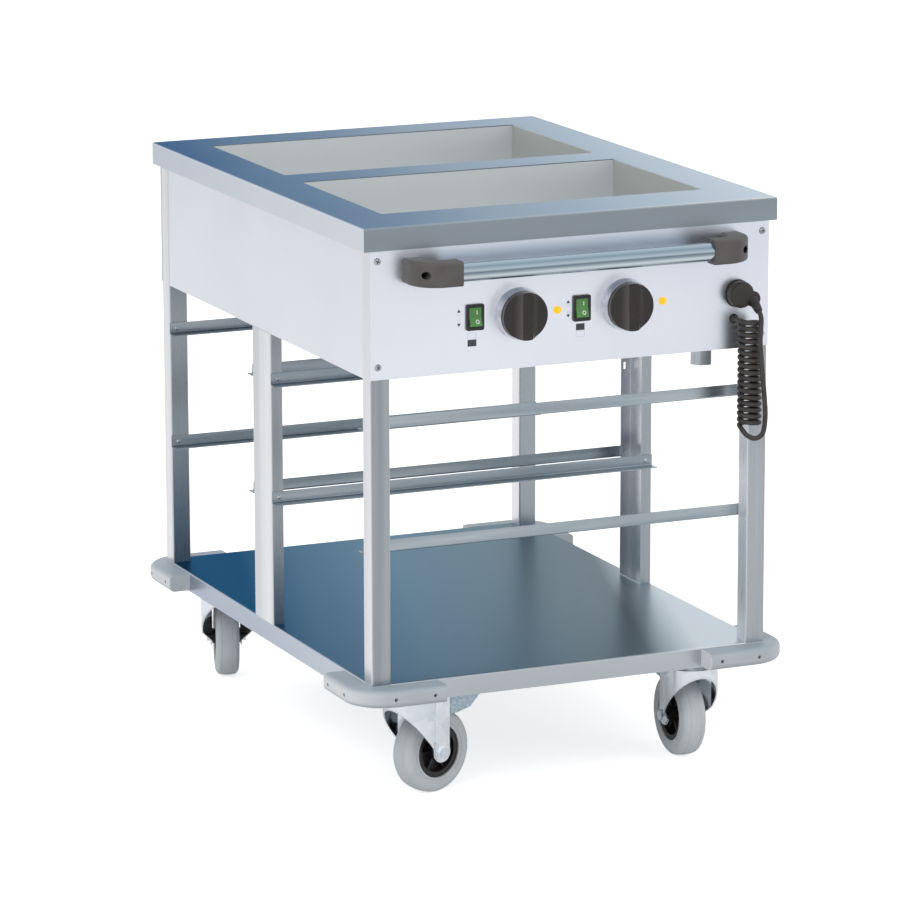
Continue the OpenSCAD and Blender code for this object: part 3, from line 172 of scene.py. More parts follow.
# where a point lies along one axis, as a share of the way between two places
def placeOn(tree, axis, low, high):
    place = tree.nodes.new("ShaderNodeTexCoord")
    parts = tree.nodes.new("ShaderNodeSeparateXYZ")
    tree.links.new(place.outputs["Object"], parts.inputs["Vector"])
    return spread(tree, parts.outputs[axis], low, high)


# how far a face looks along one axis, from 0 to 1 where both ways count, or -1 to 1
def facing(tree, axis, bothWays=True):
    place = tree.nodes.new("ShaderNodeTexCoord")
    parts = tree.nodes.new("ShaderNodeSeparateXYZ")
    tree.links.new(place.outputs["Normal"], parts.inputs["Vector"])
    value = parts.outputs[axis]
    return mathNode(tree, "MULTIPLY", value, value) if bothWays else value


def mixOf(tree, share, first, second):
    node = tree.nodes.new("ShaderNodeMix")
    node.data_type = "RGBA"
    tree.links.new(share, node.inputs["Factor"])
    for socket, value in ((node.inputs["A"], first), (node.inputs["B"], second)):
        colourSocket = [s for s in node.inputs if s.name == socket.name and s.type == "RGBA"][0]
        if isinstance(value, str):
            colourSocket.default_value = paint(value)
        else:
            tree.links.new(value, colourSocket)
    return [s for s in node.outputs if s.type == "RGBA"][0]


def setBump(tree, shader, height, strength, depth):
    bump = tree.nodes.new("ShaderNodeBump")
    bump.inputs["Strength"].default_value = strength
    bump.inputs["Distance"].default_value = depth
    tree.links.new(height, bump.inputs["Height"])
    tree.links.new(bump.outputs["Normal"], shader.inputs["Normal"])


def setColour(tree, shader, colour):
    tree.links.new(colour, shader.inputs["Base Color"])


# the roughness swings about its middle with a pattern
def setRoughness(tree, shader, pattern, middle, kind):
    down, up = swingOf[kind]
    tree.links.new(spread(tree, pattern, 0, 1, middle - down, middle + up),
                   shader.inputs["Roughness"])


def wear(finish, *names):
    for name in names:
        mesh = nodes[name].data
        if not mesh.materials:
            mesh.materials.append(finish)
        for place in nodes[name].material_slots:
            place.material = finish


# mesh helpers

def pieceFrom(bm, name, finish, body):
    bmesh.ops.recalc_face_normals(bm, faces=bm.faces)
    mesh = bpy.data.meshes.new(name)
    bm.to_mesh(mesh)
    bm.free()
    mesh.materials.append(finish)
    piece = bpy.data.objects.new(name, mesh)
    bpy.context.scene.collection.objects.link(piece)
    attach(piece, body)
    return piece


# turns a line of (radius, height) points about an axis, on which it starts and ends
def addTurned(bm, profile, foot, axis, steps):
    turn = Vector(axis).to_track_quat("Z", "Y")
    rings = []
    for radius, height in profile:
        if radius == 0:
            rings.append([bm.verts.new(foot + turn @ Vector((0, 0, height)))])
            continue
        ring = []
        for i in range(steps):
            a = 2 * math.pi * i / steps
            spot = Vector((radius * math.cos(a), radius * math.sin(a), height))
            ring.append(bm.verts.new(foot + turn @ spot))
        rings.append(ring)
    for low, high in zip(rings, rings[1:]):
        for i in range(steps):
            j = (i + 1) % steps
            if len(low) == 1:
                bm.faces.new((low[0], high[i], high[j]))
            elif len(high) == 1:
                bm.faces.new((low[i], low[j], high[0]))
            else:
                bm.faces.new((low[i], low[j], high[j], high[i]))


# a thin print or plate with an outline in mm, with or without a hole of as many points
def addPrint(bm, outline, origin, across, up, lift, sink, hole=None):
    across, up = Vector(across).normalized(), Vector(up).normalized()
    out = across.cross(up)

    def loopAt(points, height):
        return [bm.verts.new(origin + (across * x + up * y + out * height) / 1000)
                for x, y in points]

    loops = [(loopAt(outline, lift), loopAt(outline, -sink))]
    if hole:
        loops.append((loopAt(hole, lift), loopAt(hole, -sink)))
        for side in (0, 1):
            outer, inner = loops[0][side], loops[1][side]
            for i in range(len(outer)):
                j = (i + 1) % len(outer)
                bm.faces.new((outer[i], outer[j], inner[j], inner[i]))
    else:
        bm.faces.new(loops[0][0])
        bm.faces.new(list(reversed(loops[0][1])))
    for front, back in loops:
        for i in range(len(front)):
            j = (i + 1) % len(front)
            bm.faces.new((front[i], back[i], back[j], front[j]))


def rectangle(wide, high, x=0, y=0):
    corners = ((-1, -1), (1, -1), (1, 1), (-1, 1))
    return [(x + sx * wide / 2, y + sy * high / 2) for sx, sy in corners]


def roundOutline(wide, high, x=0, y=0, steps=28):
    turns = [2 * math.pi * i / steps for i in range(steps)]
    return [(x + wide / 2 * math.cos(a), y + high / 2 * math.sin(a)) for a in turns]


# coiled supply cord with its lead back up to the parked plug

cordLook = {
    "colour": "#2f2c2a",
    "shine": "#47423f",
    "patch": 90,
    "pits": 1500,
    "bump": 0.12,
    "roughness": 0.5,
    "diameter": 7.2,
    "gland": (257.5, -429, 680),
    "coilMiddle": (272.1, -446),
    "coilRadius": 14.6,
    "pitch": 9.2,
    "ease": 0.1,
    "startAngle": 180,
    "turns": 17 - 20 / 360,
    "stepsPerTurn": 16,
    "tail": 1,
    "lead": [
        (256.5, -447.9, 524.3), (256.4, -452.7, 522.2), (257.5, -456.6, 519),
        (259.8, -459.6, 515.1), (264.8, -462.8, 511.2), (271.2, -466.1, 509.2),
        (277.8, -468.8, 511.6), (282.4, -470.3, 517.4), (284.2, -470.8, 525),
        (285.2, -471.2, 535), (285.4, -471.5, 548), (284.4, -471.5, 563),
        (282.6, -471.5, 581), (280.4, -471.5, 602), (278.4, -471.5, 622), (276.6, -471.5, 640),
        (275.8, -471.5, 655), (276.4, -471.2, 666), (277.6, -470, 675.4), (279.6, -466.6, 683.4),
        (281, -461.8, 689.3),
    ],
    "reliefFoot": (280, -437.2, 710),
    "reliefWay": (0.04311, -0.77592, -0.62936),
    "reliefLength": 24,
    "reliefSink": 4,
    "length": 1.822,
}


# how far a turn of the coil lies below the gland; the first and last turns ease in and out
def coilDrop(turn, look):
    ease, whole, pitch = look["ease"], look["turns"], look["pitch"]
    if turn < ease:
        return pitch * turn ** 2 / (2 * ease)
    if turn > whole - ease:
        return pitch * (whole - ease - (whole - turn) ** 2 / (2 * ease))
    return pitch * (turn - ease / 2)


def cordRoute(look):
    exitX, exitY, exitZ = look["gland"]
    middleX, middleY = look["coilMiddle"]
    radius = look["coilRadius"]
    points = [look["gland"], (exitX, (exitY + middleY) / 2, exitZ)]
    steps = round(look["turns"] * look["stepsPerTurn"])
    for i in range(steps + 1):
        turn = look["turns"] * i / steps
        a = math.radians(look["startAngle"] + 360 * turn)
        points.append((middleX + radius * math.cos(a), middleY + radius * math.sin(a),
                       exitZ - coilDrop(turn, look)))
    last = math.radians(look["startAngle"] + 360 * look["turns"])
    x, y, z = points[-1]
    points.append((x - look["tail"] * math.sin(last), y + look["tail"] * math.cos(last), z))
    points += look["lead"]
    foot, way = Vector(look["reliefFoot"]), Vector(look["reliefWay"])
    for along in (look["reliefLength"], look["reliefLength"] - look["reliefSink"]):
        points.append(tuple(foot + way * along))
    return [at(*p) for p in points]


def rubberFinish(look):
    finish, tree, shader = startFinish("cordRubber", look["colour"], look["roughness"])
    patches = noiseOn(tree, (look["patch"],) * 3, detail=4)
    setColour(tree, shader, tinted(tree, patches, look["colour"], look["shine"], high=0.75))
    setRoughness(tree, shader, patches, look["roughness"], "cord")
    pits = noiseOn(tree, (look["pits"],) * 3, detail=2)
    setBump(tree, shader, pits, look["bump"], pitDepth)
    return finish


# ribbed sleeve on the plug's strain relief, in mm along it from the plug
reliefLook = {
    "foot": 1,
    "radius": 7.4,
    "taper": 1.8,
    "ribs": 6,
    "ribsFrom": 3,
    "ribsLong": 20.5,
    "ribLong": 2.1,
    "slope": 0.3,
    "groove": 1.1,
    "grooveLong": 0.8,
    "lip": (5.2, 4.2, 24.7),
    "mouth": 24.5,
    "sides": 28,
}


def reliefProfile(look):
    sleeve = [(0, look["foot"]), (look["radius"], look["foot"])]
    for i in range(look["ribs"]):
        share = i / look["ribs"]
        low = look["ribsFrom"] + look["ribsLong"] * share
        high = low + look["ribLong"]
        thick = look["radius"] - look["taper"] * share
        thin, bed = thick - look["groove"], high + look["slope"]
        sleeve += [(thick, low), (thick, high), (thin, bed), (thin, bed + look["grooveLong"])]
    outer, inner, lipEnd = look["lip"]
    sleeve += [(outer, lipEnd), (inner, lipEnd), (0, look["mouth"])]
    return [(radius / 1000, height / 1000) for radius, height in sleeve]


def addCord(look, relief):
    route = cordRoute(look)
    line = bpy.data.curves.new("supply_cord", "CURVE")
    line.dimensions = "3D"
    line.bevel_depth = look["diameter"] / 2000
    line.bevel_resolution = 5
    line.resolution_u = 3
    line.use_fill_caps = True
    spline = line.splines.new("BEZIER")
    spline.bezier_points.add(len(route) - 1)
    for point, spot in zip(spline.bezier_points, route):
        point.co = spot
        point.handle_left_type = point.handle_right_type = "AUTO"
    finish = rubberFinish(look)
    line.materials.append(finish)
    cord = bpy.data.objects.new("supply_cord", line)
    bpy.context.scene.collection.objects.link(cord)
    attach(cord, "chassis")
    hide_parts("curly_cord", "cord_lead")
    bm = bmesh.new()
    addTurned(bm, reliefProfile(relief), at(*look["reliefFoot"]), Vector(look["reliefWay"]),
              relief["sides"])
    sleeve = pieceFrom(bm, "plug_strain_relief", finish, "chassis")


addCord(cordLook, reliefLook)
print("cord wound")


# folded steel sheet: each face takes a tint of painted light and shade from the way it looks, under
# a fine brushed grain;
# a wide top carries a painted reflection that runs from left to right, its slant leans the run
# towards the front, and the same run gives the specular tint a painted reflection tint

def brushedFinish(name, look):
    finish, tree, shader = startFinish(name, look["ends"], look["roughness"], look["metallic"])
    streaks = noiseOn(tree, look["streak"], detail=2)
    fine = noiseOn(tree, look["grain"])
    # painted reflection: the top's colour and its specular tint run across it from left to right
    if "topReflectionStops" in look:
        slant, middle = look["topSlant"], (1 - look["topSlant"]) / 2
        back = mathNode(tree, "MULTIPLY", placeOn(tree, "Y", -1, 1), slant)
        along = spread(tree, mathNode(tree, "SUBTRACT", placeOn(tree, "X", -1, 1), back),
                       *[middle + end / 2 for end in look["topSpan"]])
        waver = mathNode(tree, "SUBTRACT", streaks, 0.5)
        across = mathNode(tree, "ADD", along, mathNode(tree, "MULTIPLY", waver, look["topDrift"]))
        top = rampOf(tree, across, look["topReflectionStops"])
        tree.links.new(rampOf(tree, across, look["grazingReflectionTint"]), shader.inputs["Specular Tint"])
    else:
        top = look["top"]
    # painted light and shade: front and back faces take the ends tints, left and right faces the
    # sides tints, over the grain streaks
    ends = tinted(tree, streaks, look["endsDark"], look["ends"])
    sides = tinted(tree, streaks, look["sidesDark"], look["sides"])
    # painted shade on faces that look to the front, such as the inner faces of the rear posts
    if "inner" in look:
        ends = mixOf(tree, spread(tree, facing(tree, "Y", False), -1, 0), look["inner"], ends)
    upright = mixOf(tree, facing(tree, "X"), ends, sides)
    setColour(tree, shader, mixOf(tree, facing(tree, "Z"), upright, top))
    setRoughness(tree, shader, fine, look["roughness"], "brushed")
    setBump(tree, shader, fine, look["bump"], grainDepth)
    return finish


# the tints below are painted light and shade for each way a face looks, and painted reflection
# across the worktop and shelf tops
worktopLook = {
    "topSlant": 0.26, "topSpan": (-0.42, 0.42), "topDrift": 0.06,
    "topReflectionStops": [(0.0, "#5d7899"), (1.0, "#eef1f3"), (0.13, "#768ca2"), (0.32, "#8fa0b0"),
                 (0.48, "#abb6be"), (0.63, "#b9c4cd"), (0.78, "#cfd7dc")],
    "grazingReflectionTint": [(0.0, "#8aa3c2"), (1.0, "#c0cedc"), (0.13, "#9fb4ca"), (0.32, "#a8bbcf"),
                (0.48, "#b9c8d9")],
    "ends": "#99a3ac", "endsDark": "#8c969e",
    "sides": "#ffffff", "sidesDark": "#fbfcfe",
    "roughness": 0.3, "metallic": 1, "bump": 0.04,
    "streak": (1.2, 9, 9), "grain": (18, 900, 900),
}
panelLook = {
    "top": "#e4e8f0", "ends": "#eef2fb", "endsDark": "#e0e7f2",
    "sides": "#f0f3fa", "sidesDark": "#e8ecf4",
    "roughness": 0.32, "metallic": 1, "bump": 0.04,
    "streak": (1.5, 3, 3), "grain": (25, 25, 900),
}
frameLook = {
    "top": "#b9c0c6", "ends": "#b4b9be", "endsDark": "#8d949a",
    "sides": "#f6f7fa", "sidesDark": "#dfe2e7",
    "roughness": 0.28, "metallic": 1, "bump": 0.06,
    "streak": (42, 42, 0.7), "grain": (900, 900, 20),
}
# painted light: the front right post wears a lighter, less metallic copy of the frame steel
frontRightLook = {**frameLook, "metallic": 0.5, "ends": "#b7bdc3", "endsDark": "#9fa5ab"}
# painted shade on the forward faces of the rear posts
rearFrameLook = {**frameLook, "inner": "#a4acb2"}
channelLook = {
    "top": "#b9c0c6", "ends": "#a9afb5", "endsDark": "#8d949a",
    "sides": "#eff0f3", "sidesDark": "#d3d7dc",
    "roughness": 0.28, "metallic": 1, "bump": 0.06,
    "streak": (30, 30, 0.6), "grain": (900, 900, 20),
}
# painted light: the right channel post wears a lighter copy of the channel steel
rightChannelLook = {**channelLook, "ends": "#b4bac1", "endsDark": "#989fa6"}
shelfLook = {
    "topSlant": 0.3, "topSpan": (-0.33, 0.33), "topDrift": 0.1,
    "topReflectionStops": [(0.0, "#5f7890"), (1.0, "#f4f6f8"), (0.14, "#7b90a3"), (0.38, "#90a4b3"),
                 (0.6, "#919fa8"), (0.88, "#8f9597"), (0.955, "#d6dcde")],
    "grazingReflectionTint": [(0.0, "#7690ab"), (1.0, "#b3c2cd"), (0.14, "#90a9bd"), (0.38, "#9cb2c0"),
                (0.7, "#a9b9c4")],
    "ends": "#c2c9ce", "endsDark": "#b6bdc3",
    "sides": "#eceff4", "sidesDark": "#dde1e8",
    "roughness": 0.3, "metallic": 1, "bump": 0.02,
    "streak": (2.2, 1.1, 9), "grain": (14, 500, 500),
}
runnerLook = {
    "top": "#a3b0ba", "ends": "#aeb7be", "endsDark": "#84909a",
    "sides": "#6f7a83", "sidesDark": "#5c676f",
    "roughness": 0.28, "metallic": 1, "bump": 0.05,
    "streak": (3, 20, 60), "grain": (18, 900, 900),
}
# painted light: the front runners wear a lighter copy of the runner steel
frontRunnerLook = {**runnerLook, "ends": "#bac3ca", "endsDark": "#98a3ac"}

wear(brushedFinish("worktopSteel", worktopLook), "worktop")
wear(brushedFinish("panelSteel", panelLook), "front_panel", "rear_panel", "side_panel_left",
     "side_panel_right", "housing_floor")
wear(brushedFinish("frameSteel", frameLook), "post_front_left")
wear(brushedFinish("frontRightSteel", frontRightLook), "post_front_right")
wear(brushedFinish("rearFrameSteel", rearFrameLook), "post_rear_left", "post_rear_right")
wear(brushedFinish("channelSteel", channelLook), "channel_post_left")
wear(brushedFinish("rightChannelSteel", rightChannelLook), "channel_post_right")
wear(brushedFinish("shelfSteel", shelfLook), "bottom_shelf")
wear(brushedFinish("frontRunnerSteel", frontRunnerLook), "runners_front")
wear(brushedFinish("runnerSteel", runnerLook), "runners_middle_front", "runners_middle_rear",
     "runners_rear")
print("sheet steel finished")


# the two wells: warm satin steel with painted shade that darkens it towards the bottom corners and
# on the walls that look sideways

wellLook = {
    "base": "#e9edef", "ends": "#bcc0bc",
    "walls": [(0.0, "#d3d9dc"), (1.0, "#dfe3e5"), (0.45, "#e9edef"), (0.78, "#dfe3e5")],
    "zSpan": (0.704, 0.855), "grain": (20, 500, 500),
    "roughness": 0.42, "metallic": 0.45, "bump": 0.05,
}


def wellFinish(look):
    finish, tree, shader = startFinish("wellSteel", look["base"], look["roughness"],
                                       look["metallic"])
    walls = rampOf(tree, placeOn(tree, "Z", *look["zSpan"]), look["walls"])
    setColour(tree, shader, mixOf(tree, facing(tree, "X"), walls, look["ends"]))
    fine = noiseOn(tree, look["grain"])
    setRoughness(tree, shader, fine, look["roughness"], "well")
    setBump(tree, shader, fine, look["bump"], grainDepth)
    return finish


wear(wellFinish(wellLook), "well_front", "well_rear")


# push handle: polished tube with long bright and dark bands of painted reflection, set by how far
# each face looks up or down

handleLook = {
    "reflectionBands": [(0.0, "#5a6873"), (1.0, "#b3c5d1"), (0.14, "#b1bec6"), (0.3, "#d3dce2"),
              (0.42, "#98a6b0"), (0.52, "#758692"), (0.62, "#adbdc8"), (0.8, "#8599a7")],
    "base": "#a3b3be", "roughness": 0.2, "grain": (6, 700, 700), "bump": 0.04,
}


def handleFinish(look):
    finish, tree, shader = startFinish("handleSteel", look["base"], look["roughness"], 1.0)
    tilt = spread(tree, facing(tree, "Z", False), -1, 1)
    setColour(tree, shader, rampOf(tree, tilt, look["reflectionBands"]))
    fine = noiseOn(tree, look["grain"], detail=2)
    setRoughness(tree, shader, fine, look["roughness"], "handle")
    setBump(tree, shader, fine, look["bump"], grainDepth)
    return finish


wear(handleFinish(handleLook), "handle_tube")


# moulded plastics and rubbers

def mouldedFinish(name, look):
    finish, tree, shader = startFinish(name, look["colour"], look["roughness"])
    patches = noiseOn(tree, (look["patch"],) * 3, detail=4)
    colour = tinted(tree, patches, look["colour"], look["shine"])
    # painted light and shade: faces that look sideways take the side tint, faces that look up or
    # down the top tint
    if "top" in look:
        colour = mixOf(tree, facing(tree, "X"), colour, look["side"])
        colour = mixOf(tree, facing(tree, "Z"), colour, look["top"])
    setColour(tree, shader, colour)
    setRoughness(tree, shader, patches, look["roughness"], "moulded")
    pits = noiseOn(tree, (look["pits"],) * 3, detail=2)
    setBump(tree, shader, pits, look["bump"], pitDepth)
    return finish


bracketLook = {"colour": "#504d4b", "shine": "#5b5856", "roughness": 0.42, "patch": 40,
               "pits": 1400, "bump": 0.12}
switchLook = {"colour": "#1b1b1d", "shine": "#252527", "roughness": 0.36, "patch": 60, "pits": 1600,
              "bump": 0.08}
# the knobs' side and top tints are a painted highlight on the grip walls and painted light on the
# tops
knobLook = {"colour": "#1c1715", "shine": "#241e1c", "side": "#5c5855", "top": "#332e2b",
            "roughness": 0.28, "patch": 50, "pits": 1500, "bump": 0.07}
rockerLook = {"colour": "#4d8843", "shine": "#58944c", "roughness": 0.24, "patch": 70, "pits": 1500,
              "bump": 0.03}
plugLook = {"colour": "#292625", "shine": "#33302e", "roughness": 0.46, "patch": 60, "pits": 1300,
            "bump": 0.12}
# the bumpers' side and top tints are painted light and shade
bumperLook = {"colour": "#b3bac0", "shine": "#bcc3c8", "side": "#dfe2e6", "top": "#a6b2bc",
              "roughness": 0.5, "patch": 20, "pits": 900, "bump": 0.06}
tyreLook = {"colour": "#c8ced2", "shine": "#d3d8dc", "roughness": 0.5, "patch": 35, "pits": 800,
            "bump": 0.14}
hubLook = {"colour": "#1e1b1b", "shine": "#2b2726", "roughness": 0.4, "patch": 50, "pits": 1200,
           "bump": 0.12}
thermostatLook = {"colour": "#d8d5cc", "shine": "#e0ddd5", "roughness": 0.5, "patch": 50,
                  "pits": 1000, "bump": 0.1}
heaterLook = {"colour": "#b8562b", "shine": "#c46539", "roughness": 0.6, "patch": 90, "pits": 700,
              "bump": 0.3}

wear(mouldedFinish("bracketPlastic", bracketLook), "handle_bracket_left", "handle_bracket_right")
wear(mouldedFinish("switchPlastic", switchLook), "switch_frames")
wear(mouldedFinish("knobPlastic", knobLook), "knob_left", "knob_right")
wear(mouldedFinish("rockerPlastic", rockerLook), "rocker_left", "rocker_right")
wear(mouldedFinish("plugRubber", plugLook), "plug", "parking_socket", "cord_gland")
wear(mouldedFinish("bumperRubber", bumperLook), "bumper_front_left", "bumper_front_right",
     "bumper_rear_left", "bumper_rear_right")
wear(mouldedFinish("tyreRubber", tyreLook), *["tyre_" + name for name in castorNames])
wear(mouldedFinish("hubPlastic", hubLook), *["hub_" + name for name in castorNames])
wear(mouldedFinish("thermostatPlastic", thermostatLook), "thermostats")
wear(mouldedFinish("heaterSilicone", heaterLook), "heater_mats")


# pilot lamps: clear amber that is lit from inside

lampLook = {"colour": "#ffbf10", "glow": "#ffd21e", "strength": 0.42, "roughness": 0.2,
            "grain": (700, 700, 700), "bump": 0.1, "bumpDepth": 0.0004}


def lampFinish(look):
    finish, tree, shader = startFinish("lampPlastic", look["colour"], look["roughness"])
    shader.inputs["Emission Color"].default_value = paint(look["glow"])
    shader.inputs["Emission Strength"].default_value = look["strength"]
    ripple = noiseOn(tree, look["grain"], detail=1)
    setBump(tree, shader, ripple, look["bump"], look["bumpDepth"])
    return finish


wear(lampFinish(lampLook), "pilot_lamps")


# bright plated steel: chrome rings, screws and rivets, and the spangled zinc of the castors

chromeLook = {"colour": "#d3d5d8", "dark": "#b9bcc1", "roughness": 0.12, "haze": 160}
screwLook = {"colour": "#c7cacd", "dark": "#9fa3a8", "roughness": 0.24, "haze": 160}
outletLook = {"colour": "#c5ccd1", "dark": "#bcc4ca", "roughness": 0.3, "haze": 160}
forkLook = {"bright": "#f0f4f8", "dull": "#dbe3ea", "roughness": 0.2, "cells": 45}
pedalLook = {"bright": "#b9c8d2", "dull": "#93a8b7", "roughness": 0.3, "cells": 300}
plateLook = {"bright": "#c5c9cc", "dull": "#adb3b8", "roughness": 0.34, "cells": 260}


def platedFinish(name, look):
    finish, tree, shader = startFinish(name, look["colour"], look["roughness"], 1.0)
    haze = noiseOn(tree, (look["haze"],) * 3)
    setColour(tree, shader, tinted(tree, haze, look["dark"], look["colour"], high=0.65))
    setRoughness(tree, shader, haze, look["roughness"], "plated")
    return finish


# each crystal of the zinc has its own tint and gloss, under a soft cloud
def spangledFinish(name, look):
    cloud, crystals, cloudScale = 0.4, 0.6, 60
    finish, tree, shader = startFinish(name, look["bright"], look["roughness"], 1.0)
    place = tree.nodes.new("ShaderNodeTexCoord")
    cells = tree.nodes.new("ShaderNodeTexVoronoi")
    cells.inputs["Scale"].default_value = look["cells"]
    tree.links.new(place.outputs["Object"], cells.inputs["Vector"])
    parts = tree.nodes.new("ShaderNodeSeparateColor")
    tree.links.new(cells.outputs["Color"], parts.inputs["Color"])
    mottle = noiseOn(tree, (cloudScale,) * 3)
    shade = mathNode(tree, "ADD", mathNode(tree, "MULTIPLY", parts.outputs["Red"], crystals),
                     mathNode(tree, "MULTIPLY", mottle, cloud))
    setColour(tree, shader, tinted(tree, shade, look["dull"], look["bright"], 0.2, 0.8))
    setRoughness(tree, shader, parts.outputs["Green"], look["roughness"], "spangled")
    return finish


wear(platedFinish("dialChrome", chromeLook), "dial_rings")
wear(platedFinish("screwSteel", screwLook), "screws", "rivets")
wear(platedFinish("outletSteel", outletLook), "drain_pipe")
wear(spangledFinish("forkZinc", forkLook), *["fork_" + name for name in castorNames])
wear(spangledFinish("pedalZinc", pedalLook), "brake_pedal_left", "brake_pedal_right")
wear(spangledFinish("plateZinc", plateLook), "castor_plates", "castor_pins", "cross_members")
print("plastics, rubber and plating finished")


# printed signs beside the controls, in mm: arrows up and down with small boxes between them, and
# two levels below the switch, of which one is filled

controlLook = {
    "panelFace": -421,
    "height": 715,
    "knobs": (-84.5, 82.7),
    "arrows": (-178.2, -7.3),
    "arrowUp": 10.5,
    "arrowDown": -10.0,
    "levels": (-158, 11.8),
    "levelUpper": -27.4,
    "levelLower": -37.3,
    "arrowHalf": (2.8, 2.2, 2.6),
    "boxDrop": 5.2,
    "boxOuter": (3.6, 3.2),
    "boxInner": (3.0, 2.6),
    "levelOuter": (13.6, 9.6),
    "levelInner": (12.9, 8.9),
    "lift": 0.12,
    "boxLift": 0.1,
    "sink": 0.1,
    "ink": "#3c4148",
    "paleInk": "#b8bec8",
}


def inkFinish(name, colour):
    grain, roughness = 400, 0.5
    finish, tree, shader = startFinish(name, colour, roughness)
    setRoughness(tree, shader, noiseOn(tree, (grain,) * 3, detail=2), roughness, "ink")
    return finish


def addPanelSigns(look):
    ink, paleInk = inkFinish("signInk", look["ink"]), inkFinish("paleSignInk", look["paleInk"])
    dark, pale = bmesh.new(), bmesh.new()
    across, up, lift, sink = (1, 0, 0), (0, 0, 1), look["lift"], look["sink"]
    half, foot, tip = look["arrowHalf"]
    heights = [look["levelUpper"], look["levelLower"]]
    for group, (arrowX, levelX) in enumerate(zip(look["arrows"], look["levels"])):
        for step, way in ((look["arrowUp"], 1), (look["arrowDown"], -1)):
            middle = at(arrowX, look["panelFace"], look["height"] + step)
            arrow = [(-half, -foot * way), (half, -foot * way), (0, tip * way)]
            addPrint(dark, arrow if way > 0 else arrow[::-1], middle, across, up, lift, sink)
            box = (0, -look["boxDrop"] * way)
            addPrint(pale, rectangle(*look["boxOuter"], *box), middle, across, up, look["boxLift"],
                     sink, rectangle(*look["boxInner"], *box))
        filled = at(levelX, look["panelFace"], look["height"] + heights[1 - group])
        hollow = at(levelX, look["panelFace"], look["height"] + heights[group])
        addPrint(dark, rectangle(*look["levelOuter"]), filled, across, up, lift, sink)
        addPrint(pale, rectangle(*look["levelOuter"]), hollow, across, up, lift, sink,
                 rectangle(*look["levelInner"]))
    pieceFrom(dark, "panel_signs", ink, "chassis")
    pieceFrom(pale, "panel_sign_outlines", paleInk, "chassis")


addPanelSigns(controlLook)


# on and off marks moulded into the rockers

rockerMarks = {
    "fromKnob": -66.7,
    "foldY": -423.804,
    "foldZ": 0.365,
    "swing": 18,
    "bar": (1.4, 5.6, 6.5),
    "ring": (5.8, 6.2, 1.2, -7),
    "lift": 0.1,
    "sink": 0.15,
    "colour": "#f1f4ee",
}


def addRockerMarks(look):
    finish = inkFinish("markWhite", look["colour"])
    lean = math.radians(look["swing"])
    across, lift, sink = (1, 0, 0), look["lift"], look["sink"]
    wide, high, barUp = look["bar"]
    ringWide, ringHigh, line, ringUp = look["ring"]
    for side, knobX in zip(("left", "right"), controlLook["knobs"]):
        fold = at(knobX + look["fromKnob"], look["foldY"], controlLook["height"] + look["foldZ"])
        bm = bmesh.new()
        addPrint(bm, rectangle(wide, high, 0, barUp), fold, across, (0, 0, 1), lift, sink)
        addPrint(bm, roundOutline(ringWide, ringHigh, 0, ringUp), fold, across,
                 (0, math.sin(lean), math.cos(lean)), lift, sink,
                 roundOutline(ringWide - 2 * line, ringHigh - 2 * line, 0, ringUp))
        pieceFrom(bm, "rocker_marks_" + side, finish, "switch_" + side)


addRockerMarks(rockerMarks)


# painted shade of the driver recesses in the panel screws: flat dark crosses on the heads

recessLook = {
    "turns": {(-303, 806): 65, (-303, 654): 35, (303, 806): 85, (303, 654): 55},
    "face": 421,
    "head": 2.2,
    "arm": 6,
    "slot": 1.4,
    "lifts": (0.06, 0.07),
    "sink": 0.5,
    "colour": "#3b3e42",
}


def addScrewRecesses(look):
    finish = inkFinish("recessShade", look["colour"])
    bm = bmesh.new()
    slot = rectangle(look["arm"], look["slot"])
    for end in (-1, 1):
        for (x, z), turn in look["turns"].items():
            spot = at(x, end * (look["face"] + look["head"]), z)
            for quarter, lift in zip((0, math.pi / 2), look["lifts"]):
                a = math.radians(turn) + quarter
                shape = [(px * math.cos(a) - py * math.sin(a), px * math.sin(a) + py * math.cos(a))
                         for px, py in slot]
                addPrint(bm, shape, spot, (-end, 0, 0), (0, 0, 1), lift, look["sink"])
    pieceFrom(bm, "screw_recess_shade", finish, "chassis")


addScrewRecesses(recessLook)
print("signs, marks and screw recesses added")


# soft studio light, pale floor and white background

studioLook = {
    "floorSize": 40,
    "floorColour": "#e6e6e6",
    "floorGlow": 0.7,
    "floorGlowInGloss": 0.2,
    "skyForLight": 0.62,
    "aim": (0, 0, 0.45),
    "lamps": [
        ("keyLamp", (-3.2, -2.6, 3.4), 2.6, 75),
        ("fillLamp", (3.2, -3.6, 2.2), 2.6, 26),
        ("backLamp", (0.6, 3.6, 3.0), 2.4, 34),
    ],
}


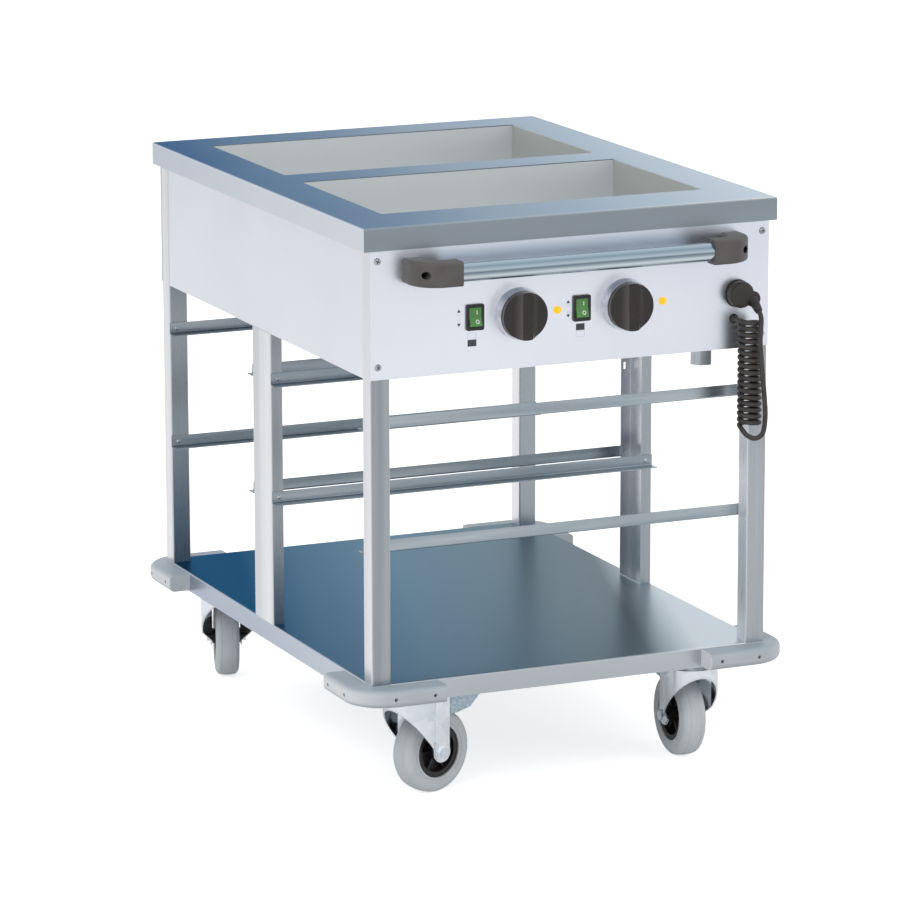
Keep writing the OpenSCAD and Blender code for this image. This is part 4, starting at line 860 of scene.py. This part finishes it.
def addStudio(look):
    scene = bpy.context.scene
    world = bpy.data.worlds.new("studio")
    scene.world = world
    world.use_nodes = True
    tree = world.node_tree
    rays = tree.nodes.new("ShaderNodeLightPath")
    seen = mathNode(tree, "MAXIMUM", rays.outputs["Is Camera Ray"],
                    mathNode(tree, "MAXIMUM", rays.outputs["Is Glossy Ray"],
                             rays.outputs["Is Transmission Ray"]))
    strength = spread(tree, seen, 0, 1, look["skyForLight"], 1)
    sky = tree.nodes["Background"]
    sky.inputs["Color"].default_value = (1, 1, 1, 1)
    tree.links.new(strength, sky.inputs["Strength"])

    floorMaterial = bpy.data.materials.new("studioFloor")
    floorMaterial.use_nodes = True
    tree = floorMaterial.node_tree
    tree.nodes.remove(tree.nodes["Principled BSDF"])
    rays = tree.nodes.new("ShaderNodeLightPath")
    inGloss = mathNode(tree, "MAXIMUM", rays.outputs["Is Glossy Ray"],
                       rays.outputs["Is Transmission Ray"])
    glow = mathNode(tree, "ADD",
                    mathNode(tree, "MULTIPLY", rays.outputs["Is Camera Ray"], look["floorGlow"]),
                    mathNode(tree, "MULTIPLY", inGloss, look["floorGlowInGloss"]))
    matt = tree.nodes.new("ShaderNodeBsdfDiffuse")
    matt.inputs["Color"].default_value = paint(look["floorColour"])
    light = tree.nodes.new("ShaderNodeEmission")
    tree.links.new(glow, light.inputs["Strength"])
    both = tree.nodes.new("ShaderNodeAddShader")
    tree.links.new(matt.outputs[0], both.inputs[0])
    tree.links.new(light.outputs[0], both.inputs[1])
    tree.links.new(both.outputs[0], tree.nodes["Material Output"].inputs["Surface"])
    bm = bmesh.new()
    corners = rectangle(look["floorSize"], look["floorSize"])
    bm.faces.new([bm.verts.new((x, y, 0)) for x, y in corners])
    mesh = bpy.data.meshes.new("studioFloor")
    bm.to_mesh(mesh)
    bm.free()
    mesh.materials.append(floorMaterial)
    floor = bpy.data.objects.new("studioFloor", mesh)
    scene.collection.objects.link(floor)

    for name, spot, size, power in look["lamps"]:
        data = bpy.data.lights.new(name, "AREA")
        data.size = size
        data.energy = power
        lamp = bpy.data.objects.new(name, data)
        scene.collection.objects.link(lamp)
        lamp.visible_glossy = False
        lamp.location = spot
        away = Vector(spot) - Vector(look["aim"])
        lamp.rotation_mode = "QUATERNION"
        lamp.rotation_quaternion = away.to_track_quat("Z", "Y")
    scene.view_settings.view_transform = "Standard"


addStudio(studioLook)
print("studio set")
